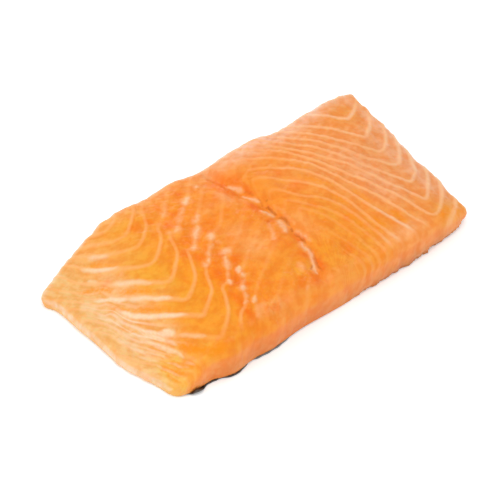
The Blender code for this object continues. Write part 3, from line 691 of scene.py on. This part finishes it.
def septa_grid(lines, step):
    """Step number among the lines of a family, and their spacing, at the corners of a grid."""
    across, along = (np.arange(-half, half + step, step) for half in SEPTA_GRID_HALF)
    grid_x, grid_y = np.meshgrid(across, along, indexing="ij")
    past = [signed_distance(grid_x, grid_y, smooth_line(line)) for line in lines]
    phase = np.where(past[0] < 0.0, past[0] / OUTER_PITCH, 0.0)
    pitch = np.full(grid_x.shape, OUTER_PITCH)
    for number, (distance, next_distance) in enumerate(zip(past[:-1], past[1:])):
        spacing = np.maximum(distance - next_distance, LEAST_PITCH)
        phase = np.where(distance >= 0.0, number + np.clip(distance / spacing, 0.0, 1.0), phase)
        pitch = np.where(distance >= 0.0, spacing, pitch)
    phase = np.where(past[-1] >= 0.0, len(past) - 1 + past[-1] / pitch, phase)
    return phase, pitch


def septa_at(lines, x, y):
    """Step number among the lines of a family, and their spacing, at the points."""
    step = SEPTA_GRID_STEP
    grids = septa_grid(lines, step)
    column, row = ((place + half) / step for place, half in zip((x, y), SEPTA_GRID_HALF))
    column = np.clip(column, 0, grids[0].shape[0] - WITHIN_GRID)
    row = np.clip(row, 0, grids[0].shape[1] - WITHIN_GRID)
    left = column.astype(int)
    low = row.astype(int)
    values = []
    for grid in grids:
        lower = grid[left, low] * (1 - column + left) + grid[left + 1, low] * (column - left)
        upper = grid[left, low + 1] * (1 - column + left) + grid[left + 1, low + 1] * (column - left)
        values.append(lower * (1 - row + low) + upper * (row - low))
    return values


def patches(spots, x, y):
    """Sum of soft oval patches, at most 1."""
    total = np.zeros(x.shape)
    for centre_x, centre_y, reach_x, reach_y, strength in spots:
        total = total + strength * np.exp(-((x - centre_x) / reach_x) ** 2 - ((y - centre_y) / reach_y) ** 2)
    return np.clip(total, 0.0, 1.0)


def stroke_distance(x, y, points, width, fading, tapering):
    """Distance from a stroke: 0 on its middle line, 1 at its outline, and more where it fades at its ends."""
    away = np.full(x.shape, FAR)
    share = np.zeros(x.shape)
    for number, (start, end) in enumerate(zip(points[:-1], points[1:])):
        span_x = end[0] - start[0]
        span_y = end[1] - start[1]
        t = ((x - start[0]) * span_x + (y - start[1]) * span_y) / (span_x ** 2 + span_y ** 2)
        t = np.clip(t, 0.0, 1.0)
        length = np.hypot(x - start[0] - t * span_x, y - start[1] - t * span_y)
        share = np.where(length < away, (number + t) / (len(points) - 1), share)
        away = np.minimum(away, length)
    towards_end = np.abs(2.0 * share - 1.0) ** 3
    width_here = width * (1.0 - tapering * towards_end)
    return np.hypot(2.0 * away / width_here, STROKE_REACH * fading * towards_end)


def strokes(list_of_strokes, outlines, ends, x, y):
    """Distance from the nearest of several uneven strokes, where a faint one never comes down to 0."""
    moved_x = x + waves(x, y, outlines)
    moved_y = y + waves(x, y, outlines, seed_step=1)
    nearest = np.full(x.shape, FAR_FROM_STROKES)
    for points, width, strength in list_of_strokes:
        distance = stroke_distance(moved_x, moved_y, points, width, *ends)
        faint = STROKE_REACH ** 2 * (1.0 - strength) / 2.0
        nearest = np.minimum(nearest, np.sqrt(distance ** 2 + faint))
    return nearest


def lattice():
    """The flesh as a square sheet with its wall hanging from the rim: u, v and wall share of each vertex."""
    cells, rings = TOP_CELLS, WALL_RINGS
    shape = bmesh.new()
    share_layer = shape.verts.layers.float.new("share")
    bmesh.ops.create_grid(shape, x_segments=cells[0], y_segments=cells[1], size=1.0)
    for vert in shape.verts:
        vert[share_layer] = 1.0
    rim = [edge for edge in shape.edges if edge.is_boundary]
    for wall_share in list(np.linspace(1.0, 0.0, rings + 1)[1:]) + [-1.0]:
        grown = bmesh.ops.extrude_edge_only(shape, edges=rim)["geom"]
        rim = [thing for thing in grown if isinstance(thing, bmesh.types.BMEdge) and thing.is_boundary]
        for thing in grown:
            if isinstance(thing, bmesh.types.BMVert):
                thing[share_layer] = wall_share
    bmesh.ops.contextual_create(shape, geom=rim)
    shape.verts.ensure_lookup_table()
    even = np.array([vert.co[:2] for vert in shape.verts])
    share = np.array([vert[share_layer] for vert in shape.verts])
    return shape, crowd(even[:, 0], cells[0]), crowd(even[:, 1], cells[1]), share


def line_fields(x, y, depth, near_front):
    """Where each point lies among the septa, and how plainly and how wide they show there."""
    lean_x = x + WALL_LEAN * depth
    kept = 1.0 - patches(FADED_LINES, lean_x, y)
    on_wall = 1.0 - curve(WALL_FADING_BY_X, x) * smooth_step(depth, *LINE_FADING_DEPTH)
    on_wall = on_wall * (1.0 - FRONT_FADING * near_front * smooth_window(x, *FRONT_FADING_BY_X))
    belly_side = smooth_step(x, *BELLY_SIDE)
    fields = {}
    for name, lines, by_x, width_by_x, chosen in (
            ("belly", BELLY_SEPTA, BELLY_LINES_BY_X, BELLY_WIDTH_BY_X, belly_side),
            ("loin", LOIN_SEPTA, LOIN_LINES_BY_X, LOIN_WIDTH_BY_X, 1.0 - belly_side)):
        fields[name + "_phase"], pitch = septa_at(lines, lean_x, y)
        fields[name + "_half"] = np.minimum(0.5 * curve(width_by_x, lean_x) / pitch, WIDEST_LINE)
        fields[name + "_line"] = curve(by_x, lean_x) * kept * chosen * on_wall
    fields["white"] = patches(WHITE_LINES, lean_x, y) * on_wall
    fields["fine"] = patches(FINE_LINES, lean_x, y)
    return fields


def mark_fields(x, y, depth):
    """Rough flesh and the distances from the strokes, which are all on top."""
    on_top = 1.0 - smooth_step(depth, 0.0, MARKS_DEPTH)
    fields = {"rough": patches(ROUGH_FLESH, x, y) * on_top}
    for name, marks, outlines, ends in (
            ("fat", FLECKS + MIDLINE_MARKS, FLECK_OUTLINES, FLECK_ENDS),
            ("streak", PALE_STREAKS, STREAK_OUTLINES, STREAK_ENDS),
            ("amber", AMBER_STREAKS, STREAK_OUTLINES, STREAK_ENDS),
            ("crease", CREASES, STREAK_OUTLINES, STREAK_ENDS)):
        fields[name] = strokes(marks, outlines, ends, x, y) + FAR_FROM_STROKES * (1.0 - on_top)
    return fields


def mixed(colour, other, share):
    """A colour at each point, mixed with another by its share there."""
    return colour * (1.0 - share[:, None]) + np.array(other) * share[:, None]


def flesh_tone(x, y, depth, near_front, share, sides):
    """Broad colour of the flesh at each point, of the top and of the cut faces, with painted shade and
    painted light on the cut faces.
    """
    tone = np.tile(ORANGE, (len(x), 1))
    for colour, places in TONES:
        for place in places:
            tone = mixed(tone, colour, patches([place], x, y))
    red_x, red_reach, red_share = RED_CUT_PLACE
    redder = red_share * np.exp(-((x - red_x) / red_reach) ** 2)
    cut_colour = mixed(np.tile(CUT_FACE, (len(x), 1)), RED_CUT, redder)
    cut = CUT_SHARE * smooth_step(depth, 0.0, CUT_DEPTH) * smooth_step(x, *CUT_FROM_X)
    tone = mixed(tone, cut_colour, cut)
    to_rim = np.min(sides[:3].T / PALE_RIM_REACH, axis=1)
    pale = PALE_RIM_SHARE * (1.0 - smooth_step(to_rim, 0.0, 1.0))
    tone = mixed(tone, PALE_RIM, pale * (1.0 - smooth_step(depth, *PALE_RIM_DEPTH)))
    # Painted shade down the cut faces, painted light near the top of the front cut and near the spine end,
    # and a painted shadow along the ragged foot.
    painted_wall_shade = WALL_SHADE[0] + WALL_SHADE[1] * smooth_step(x, *WALL_SHADE_BY_X)
    shade = 1.0 - painted_wall_shade * smooth_step(depth, *WALL_SHADE_DEPTH)
    shade = shade + FRONT_LIGHT * near_front * (1.0 - smooth_step(depth, *FRONT_LIGHT_DEPTH))
    shade = shade + TIP_LIGHT * near_front * smooth_window(x, *TIP_LIGHT_BY_X)
    painted_foot_shadow = smooth_step(x, *BELLY_FOOT) * (1.0 - smooth_step(share, 0.0, FOOT_SHADE_SHARE))
    return tone * (shade - FOOT_SHADE * near_front * painted_foot_shadow)[:, None]


def line_height(phase, half):
    """Profile across the septa, 1 on a line and 0 between lines."""
    away = np.abs(phase - np.round(phase))
    return np.exp(-(away / np.maximum(LINE_PROFILE[0] * half, LINE_PROFILE[1])) ** 2)


def relief(x, y, fields):
    """Height of the small forms over the smooth flesh, in millimetres."""
    belly = line_height(fields["belly_phase"], fields["belly_half"])
    loin = line_height(fields["loin_phase"], fields["loin_half"])
    fine_phase = 2.0 * fields["loin_phase"] + waves(x, y, FINE_LINE_SHIFT)
    fine = line_height(fine_phase, np.full(x.shape, FINE_LINE_HALF))
    loin_rise = LOIN_LINE_RISE + WHITE_LINE_RISE * fields["white"]
    height = waves(x, y, SWELLS) + BELLY_LINE_RISE * fields["belly_line"] * belly
    height = height + fields["loin_line"] * (loin_rise * loin + FINE_LINE_RISE * fields["fine"] * fine)
    for name, rise in STROKE_RISES.items():
        height = height + rise * (1.0 - smooth_step(fields[name], 0.0, STROKE_REACH))
    return height + fields["rough"] * waves(x, y, ROUGHNESS) - SUNKEN


def move_vertices(mesh, places):
    """Put the vertices of a mesh at places in millimetres."""
    mesh.vertices.foreach_set("co", (places * MM).ravel())
    mesh.update()


def store(mesh, name, values):
    """Keep a number or a colour for each vertex, as an attribute of the mesh."""
    kind, part = "FLOAT", "value"
    if values.ndim == 2:
        kind, part = "FLOAT_COLOR", "color"
        values = np.column_stack([values, np.ones(len(values))])
    layer = mesh.attributes.new(name, kind, "POINT")
    layer.data.foreach_set(part, values.astype(np.float32).ravel())


def link(name, data):
    """A new object in the scene."""
    made = bpy.data.objects.new(name, data)
    bpy.context.scene.collection.objects.link(made)
    return made


def build_flesh():
    """The flesh as one closed mesh with its fields as attributes."""
    shape, u, v, share = lattice()
    mesh = bpy.data.meshes.new("salmon_flesh")
    shape.to_mesh(mesh)
    shape.free()
    x, y, z = flesh_point(u, v, share)
    y = y + uneven_foot(x, share, v)
    places = np.stack([x, y, z], axis=1)
    depth = np.where(share < 1.0, flesh_point(u, v, np.ones(u.shape))[2] - z, 0.0)
    plan_x, plan_y = plan_point(u, v)
    sides = to_sides(plan_x, plan_y)
    near_front = 1.0 - smooth_step(sides[3], 0.0, FRONT_REACH)
    rim_x = plan_x - PLAN_CENTRE[0]
    rim_y = plan_y - PLAN_CENTRE[1]
    fields = line_fields(rim_x, rim_y, depth, near_front)
    fields.update(mark_fields(rim_x, rim_y, depth))
    move_vertices(mesh, places)
    normals = np.empty(len(x) * 3)
    mesh.vertices.foreach_get("normal", normals)
    height = relief(x, y, fields) * smooth_step(share, 0.0, RELIEF_SHARE)
    mesh.attributes.remove(mesh.attributes["share"])
    move_vertices(mesh, places + normals.reshape(-1, 3) * height[:, None])
    fields["tone"] = flesh_tone(rim_x, rim_y, depth, near_front, share, sides)
    for name, values in fields.items():
        store(mesh, name, values)
    mesh.shade_smooth()
    return link("salmon_flesh", mesh)


class Shader:
    """A short way to write a material's node tree."""

    def __init__(self, name):
        self.material = bpy.data.materials.new(name)
        self.material.use_nodes = True
        self.tree = self.material.node_tree
        self.surface = self.tree.nodes["Principled BSDF"]

    def put(self, socket, value):
        """Link a socket's source, or set a plain value."""
        if isinstance(value, bpy.types.NodeSocket):
            self.tree.links.new(value, socket)
        else:
            socket.default_value = value

    def fill(self, node, values):
        """Fill inputs of a node by their names."""
        for name, value in values.items():
            self.put(node.inputs[name], value)

    def node(self, kind, *values, **settings):
        """Add a node, fill its first inputs and set its properties."""
        made = self.tree.nodes.new(kind)
        for key, value in settings.items():
            setattr(made, key, value)
        for socket, value in zip(made.inputs, values):
            self.put(socket, value)
        return made

    def attribute(self, name, output="Fac"):
        """A field of the mesh."""
        return self.node("ShaderNodeAttribute", attribute_name=name).outputs[output]

    def place(self):
        """The place on the piece, in metres."""
        return self.node("ShaderNodeTexCoord").outputs["Object"]

    def axes(self):
        """The three coordinates of the place on the piece, in metres."""
        return self.node("ShaderNodeSeparateXYZ", self.place()).outputs

    def along_x(self):
        """The place along X, in millimetres."""
        return self.times(self.axes()["X"], 1.0 / MM)

    def vector(self, *values):
        """Three values as one vector."""
        return self.node("ShaderNodeCombineXYZ", *values).outputs[0]

    def brighten(self, colour, factor):
        """Multiply a colour by a number."""
        made = self.node("ShaderNodeVectorMath", colour, operation="SCALE")
        self.put(made.inputs["Scale"], factor)
        return made.outputs[0]

    def multiply(self, colour, factors):
        """Multiply each channel of a colour by its own factor."""
        return self.node("ShaderNodeVectorMath", colour, factors, operation="MULTIPLY").outputs[0]

    def math(self, operation, *values, clamp=False):
        """One step of arithmetic."""
        return self.node("ShaderNodeMath", *values, operation=operation, use_clamp=clamp).outputs[0]

    def times(self, first, second):
        """Product of two numbers."""
        return self.math("MULTIPLY", first, second)

    def ease(self, value, low, high, low_value=0.0, high_value=1.0):
        """Ease from one value to another as the input goes from low to high."""
        made = self.node("ShaderNodeMapRange", value, low, high, low_value, high_value,
                         interpolation_type="SMOOTHSTEP")
        return made.outputs["Result"]

    def blend(self, share, first, second):
        """Mix two colours."""
        made = self.node("ShaderNodeMix", share, data_type="RGBA")
        for socket, value in zip(made.inputs[6:8], (first, second)):
            if isinstance(value, tuple):
                value = value + (1.0,)
            self.put(socket, value)
        return made.outputs[2]

    def strokes(self, name, unevenness):
        """Strength of the strokes of one kind."""
        return self.ease(self.math("ADD", self.attribute(name), unevenness), 0.0, STROKE_REACH, 1.0, 0.0)

    def noise(self, scale, detail=2.0, roughness=0.5, place=None):
        """Unevenness from 0 to 1: in space with scale in cells to the millimetre, or over another vector."""
        if place is None:
            place = self.place()
            scale = scale / MM
        made = self.node("ShaderNodeTexNoise")
        self.fill(made, {"Vector": place, "Scale": scale, "Detail": detail, "Roughness": roughness})
        return made.outputs["Fac"]

    def vary(self, noise, low, high):
        """Turn an unevenness into values from low to high."""
        return self.ease(noise, *NOISE_RANGE, low, high)

    def fibre(self, name):
        """Unevenness that changes fast across the septa of a family and slowly along them."""
        tight, loose = FIBRE_SCALES[name]
        axes = self.axes()
        place = self.vector(self.times(self.attribute(name + "_phase"), tight),
                            self.times(axes["X"], loose / MM), self.times(axes["Y"], loose / MM))
        return self.noise(1.0, detail=3.0, place=place)

    def bump(self, height, strength, distance):
        """A surface made uneven, by a distance in millimetres."""
        made = self.node("ShaderNodeBump")
        self.fill(made, {"Height": height, "Strength": strength, "Distance": distance * MM})
        return made.outputs["Normal"]


def near_line(shader, name, wobble, lines_per_step=1.0):
    """Distance to the nearest line of a family, where the phase passes a whole number."""
    half = shader.attribute(name + "_half")
    phase = shader.math("MULTIPLY_ADD", wobble, half, shader.attribute(name + "_phase"))
    turned = shader.math("FRACT", shader.math("MULTIPLY_ADD", phase, lines_per_step, 0.5))
    return shader.math("ABSOLUTE", shader.math("SUBTRACT", turned, 0.5))


def septum_lines(shader, grain, amber):
    """Strength of the pale lines of both families, and of the thinner ones between the loin's."""
    wobble = shader.ease(shader.noise(WOBBLE_SCALE), *LINE_WOBBLE)
    lines = []
    for name in ("belly", "loin"):
        away = shader.math("DIVIDE", near_line(shader, name, wobble), shader.attribute(name + "_half"))
        line = shader.ease(away, *LINE_EDGES, 1.0, 0.0)
        lines.append(shader.times(line, shader.attribute(name + "_line")))
    fine = shader.ease(near_line(shader, "loin", wobble, 2.0), *FINE_LINE_EDGES, 1.0, 0.0)
    fine = shader.times(shader.times(fine, shader.attribute("loin_line")), shader.attribute("fine"))
    lines = shader.math("MAXIMUM", shader.math("MAXIMUM", *lines), fine)
    lines = shader.math("MULTIPLY", lines, shader.vary(grain, *LINE_STRENGTHS), clamp=True)
    return shader.times(lines, shader.ease(amber, 0.0, 1.0, 1.0, LINES_ON_AMBER))


def muscle_colour(shader, fibre):
    """The broad tones, mottled a little along the fibres of the muscle."""
    broad = shader.vary(shader.noise(BROAD_SCALE), *BROAD_BRIGHTNESS)
    tone = shader.times(shader.vary(fibre, *FIBRE_BRIGHTNESS), broad)
    mottle = shader.math("ADD", shader.noise(MOTTLE_SCALE, detail=3.0), shader.times(fibre, FIBRE_IN_MOTTLE))
    channels = [shader.ease(mottle, *MOTTLE_RANGE, *factors) for factors in MOTTLE]
    return shader.multiply(shader.brighten(shader.attribute("tone", "Color"), tone), shader.vector(*channels))


def flesh_material():
    """Raw salmon: orange flesh in several tones, pale septa and flecks, a wet surface."""
    shader = Shader("salmon flesh")
    grain = shader.noise(GRAIN_SCALE, detail=3.0, roughness=0.6)
    loin_fibre = shader.fibre("loin")
    side = shader.ease(shader.along_x(), *BELLY_SIDE)
    fibre = shader.math("ADD", shader.times(shader.fibre("belly"), side),
                        shader.times(loin_fibre, shader.math("SUBTRACT", 1.0, side)))
    unevenness = shader.vary(grain, -UNEVEN_EDGE, UNEVEN_EDGE)
    amber = shader.strokes("amber", unevenness)
    colour = shader.blend(shader.times(amber, AMBER_STRENGTH), muscle_colour(shader, fibre), AMBER)
    pale = shader.blend(shader.attribute("white"), SEPTUM, WHITE_SEPTUM)
    colour = shader.blend(septum_lines(shader, grain, amber), colour, pale)
    # Pale streaks, partly painted highlight of the wet slope.
    streak = shader.strokes("streak", shader.vary(loin_fibre, -UNEVEN_STREAK, UNEVEN_STREAK))
    colour = shader.blend(shader.times(streak, shader.vary(grain, *STREAK_STRENGTHS)), colour, STREAK_AND_HIGHLIGHT)
    rough = shader.attribute("rough")
    pale_flesh = shader.times(rough, shader.ease(grain, *PALE_FLESH_RANGE))
    colour = shader.blend(shader.times(pale_flesh, PALE_FLESH_STRENGTH), colour, FAT)
    deep_flesh = shader.times(rough, shader.ease(shader.noise(DEEP_SCALE), *DEEP_FLESH_RANGE))
    colour = shader.blend(shader.times(deep_flesh, DEEP_FLESH_STRENGTH), colour, DEEP_ORANGE)
    # Painted shade laid along the creases.
    crease = shader.strokes("crease", unevenness)
    colour = shader.blend(shader.times(crease, CREASE_STRENGTH), colour, CREASE_SHADE)
    fat = shader.strokes("fat", shader.vary(grain, -UNEVEN_FLECK, UNEVEN_FLECK))
    fat_colour = shader.blend(shader.ease(fat, *BRIGHT_FAT_RANGE), FAT, BRIGHT_FAT)
    colour = shader.blend(shader.times(fat, FAT_STRENGTH), colour, fat_colour)
    shader.fill(shader.surface, WET_SURFACE)
    shader.fill(shader.surface, {
        "Base Color": colour, "Roughness": shader.vary(grain, *FLESH_ROUGHNESS),
        "Normal": shader.bump(shader.math("ADD", fibre, grain), *FLESH_BUMP)})
    return shader.material


def skin_margin(x):
    """Length of skin past the front cut: a narrow ragged hem, and a flap that curls up."""
    flap = smooth_window(x, CURL_START, CURL_START + CURL_EASES[0], CURL_END - CURL_EASES[1], CURL_END)
    return np.maximum(SKIN_OVERHANG * hem_share(x), LEAST_OVERHANG) + CURL_LENGTH * flap


def scale_cover(x, y):
    """Overlapping scales: height from 0 to 1 above the skin, with each scale's free edge the highest."""
    height = np.zeros(x.shape)
    row = np.floor(y / SCALE_ROW_PITCH)
    for row_step in (-1, 0, 1, 2):
        centre_row = row + row_step
        offset = 0.5 * (centre_row % 2)
        column = np.round(x / SCALE_PITCH - offset)
        away_x = (x - (column + offset) * SCALE_PITCH) / SCALE_REACH[0]
        away_y = (y - centre_row * SCALE_ROW_PITCH) / SCALE_REACH[1]
        reach = away_x ** 2 + away_y ** 2
        lifted = (SCALE_HEIGHT + SCALE_TILT * away_y) * (1.0 - SCALE_ROUNDING * reach ** 4)
        height = np.maximum(height, np.where(reach < 1.0, lifted, 0.0))
    return height


def skin_point(u, row):
    """Place a point of the skin's underside; the first rows of the sheet lie past the front cut."""
    v = np.interp(row, np.arange(SKIN_CELLS[1] + 1) + MARGIN_ROWS, crowded(SKIN_CELLS[1]))
    x, y = plan_point(u, v)
    x = x - np.sign(u) * np.abs(u) ** INSET_SHARPNESS * SKIN_END_INSET
    y = y - np.maximum(v, 0.0) ** INSET_SHARPNESS * SKIN_INSET
    y = y + (1.0 - hem_share(x)) * np.maximum(-v, 0.0) ** INSET_SHARPNESS * SKIN_END_INSET
    bend = skin_margin(x) * np.clip(1.0 - row / MARGIN_ROWS, 0.0, 1.0) / CURL_RADIUS
    y = y - CURL_RADIUS * np.sin(bend)
    z = under_height(x, y) + CURL_RADIUS * (1.0 - np.cos(bend))
    return x - PLAN_CENTRE[0], y - PLAN_CENTRE[1], z


def build_skin():
    """The skin: a sheet under the flesh with its scales, given its thickness by Solidify."""
    rows = SKIN_CELLS[1] + MARGIN_ROWS
    shape = bmesh.new()
    bmesh.ops.create_grid(shape, x_segments=SKIN_CELLS[0], y_segments=rows, size=1.0)
    even = np.array([vert.co[:] for vert in shape.verts])
    mesh = bpy.data.meshes.new("salmon_skin")
    shape.to_mesh(mesh)
    shape.free()
    x, y, z = skin_point(crowd(even[:, 0], SKIN_CELLS[0]), (even[:, 1] + 1.0) / 2.0 * rows)
    cover = scale_cover(x, y)
    move_vertices(mesh, np.stack([x, y, z + SCALE_RELIEF * (1.0 - cover)], axis=1))
    store(mesh, "cover", cover)
    mesh.shade_smooth()
    skin = link("salmon_skin", mesh)
    thicken = skin.modifiers.new("thickness", "SOLIDIFY")
    thicken.thickness = (SKIN_THICKNESS - SCALE_RELIEF) * MM
    thicken.offset = 1.0
    return skin


def skin_material():
    """Fish skin: nearly black along the back with darker spots, silver in the middle, white at the belly."""
    shader = Shader("salmon skin")
    blotch = shader.vary(shader.noise(BLOTCH_SCALE, detail=3.0), -BLOTCH_SHIFT, BLOTCH_SHIFT)
    across = shader.math("ADD", shader.along_x(), blotch)
    colour = shader.blend(shader.ease(across, *BACK_TO_SIDE), BACK_SKIN, SIDE_SKIN)
    colour = shader.blend(shader.ease(across, *SIDE_TO_BELLY), colour, BELLY_SKIN)
    spots = shader.node("ShaderNodeTexVoronoi", shader.place(), feature="F1")
    spots.inputs["Scale"].default_value = SPOTS_PER_METRE
    spot = shader.ease(spots.outputs["Distance"], *SPOT_BY_DISTANCE)
    spot = shader.times(spot, shader.ease(across, *SPOTS_BY_X))
    colour = shader.blend(spot, colour, SPOT_SKIN)
    cover = shader.attribute("cover")
    colour = shader.brighten(colour, shader.ease(cover, *BRIGHTNESS_BY_COVER))
    shader.fill(shader.surface, {
        "Base Color": colour, "Roughness": shader.ease(cover, *ROUGHNESS_BY_COVER),
        "Metallic": SKIN_METALLIC,
        "Normal": shader.bump(shader.noise(PORE_SCALE, detail=3.0), *SKIN_BUMP)})
    return shader.material


def place_towards(thing, azimuth, elevation, target, distance):
    """Put a camera or a lamp in a direction from the target, and face it, in metres."""
    turn = math.radians(azimuth)
    rise = math.radians(elevation)
    towards = Vector((math.sin(turn) * math.cos(rise), -math.cos(turn) * math.cos(rise), math.sin(rise)))
    thing.location = target + towards * distance
    thing.rotation_euler = towards.to_track_quat("Z", "Y").to_euler()


def add_camera():
    """The camera, at the photograph's angle."""
    data = bpy.data.cameras.new("camera")
    data.sensor_width = SENSOR_WIDTH
    data.lens = SENSOR_WIDTH * CAMERA_SCALE * CAMERA_DISTANCE / IMAGE_WIDTH
    data.clip_start, data.clip_end = CLIPPING
    camera = link("camera", data)
    place_towards(camera, CAMERA_AZIMUTH, CAMERA_ELEVATION, Vector(CAMERA_TARGET) * MM, CAMERA_DISTANCE * MM)
    bpy.context.scene.camera = camera


def add_lamps():
    """Square soft lamps that face the fillet."""
    for name, (azimuth, elevation, distance, size, power) in LAMPS.items():
        data = bpy.data.lights.new(name, "AREA")
        data.shape = "SQUARE"
        data.size = size
        data.energy = power
        place_towards(link(name, data), azimuth, elevation, Vector(), distance)


def add_studio():
    """Floor, soft light and a plain white surrounding."""
    bpy.ops.mesh.primitive_plane_add(size=FLOOR_SIZE, location=(0.0, 0.0, -FLOOR_DROP))
    floor = bpy.context.object
    floor.name = "floor"
    shader = Shader("white floor")
    shader.fill(shader.surface, {"Base Color": FLOOR_WHITE, "Roughness": FLOOR_ROUGHNESS,
                                 "Emission Color": WHITE, "Emission Strength": FLOOR_GLOW})
    floor.data.materials.append(shader.material)
    world = bpy.data.worlds.new("studio")
    bpy.context.scene.world = world
    world.use_nodes = True
    backdrop = world.node_tree.nodes["Background"]
    backdrop.inputs["Color"].default_value = WHITE
    backdrop.inputs["Strength"].default_value = SURROUNDING_LIGHT
    add_lamps()
    bpy.context.scene.view_settings.view_transform = "Standard"


def dress(piece, node, material):
    """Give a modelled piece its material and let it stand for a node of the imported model."""
    piece.data.materials.clear()
    piece.data.materials.append(material)
    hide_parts(node)
    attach(piece, "root")


add_camera()
dress(build_flesh(), "flesh", flesh_material())
dress(build_skin(), "skin", skin_material())
add_studio()
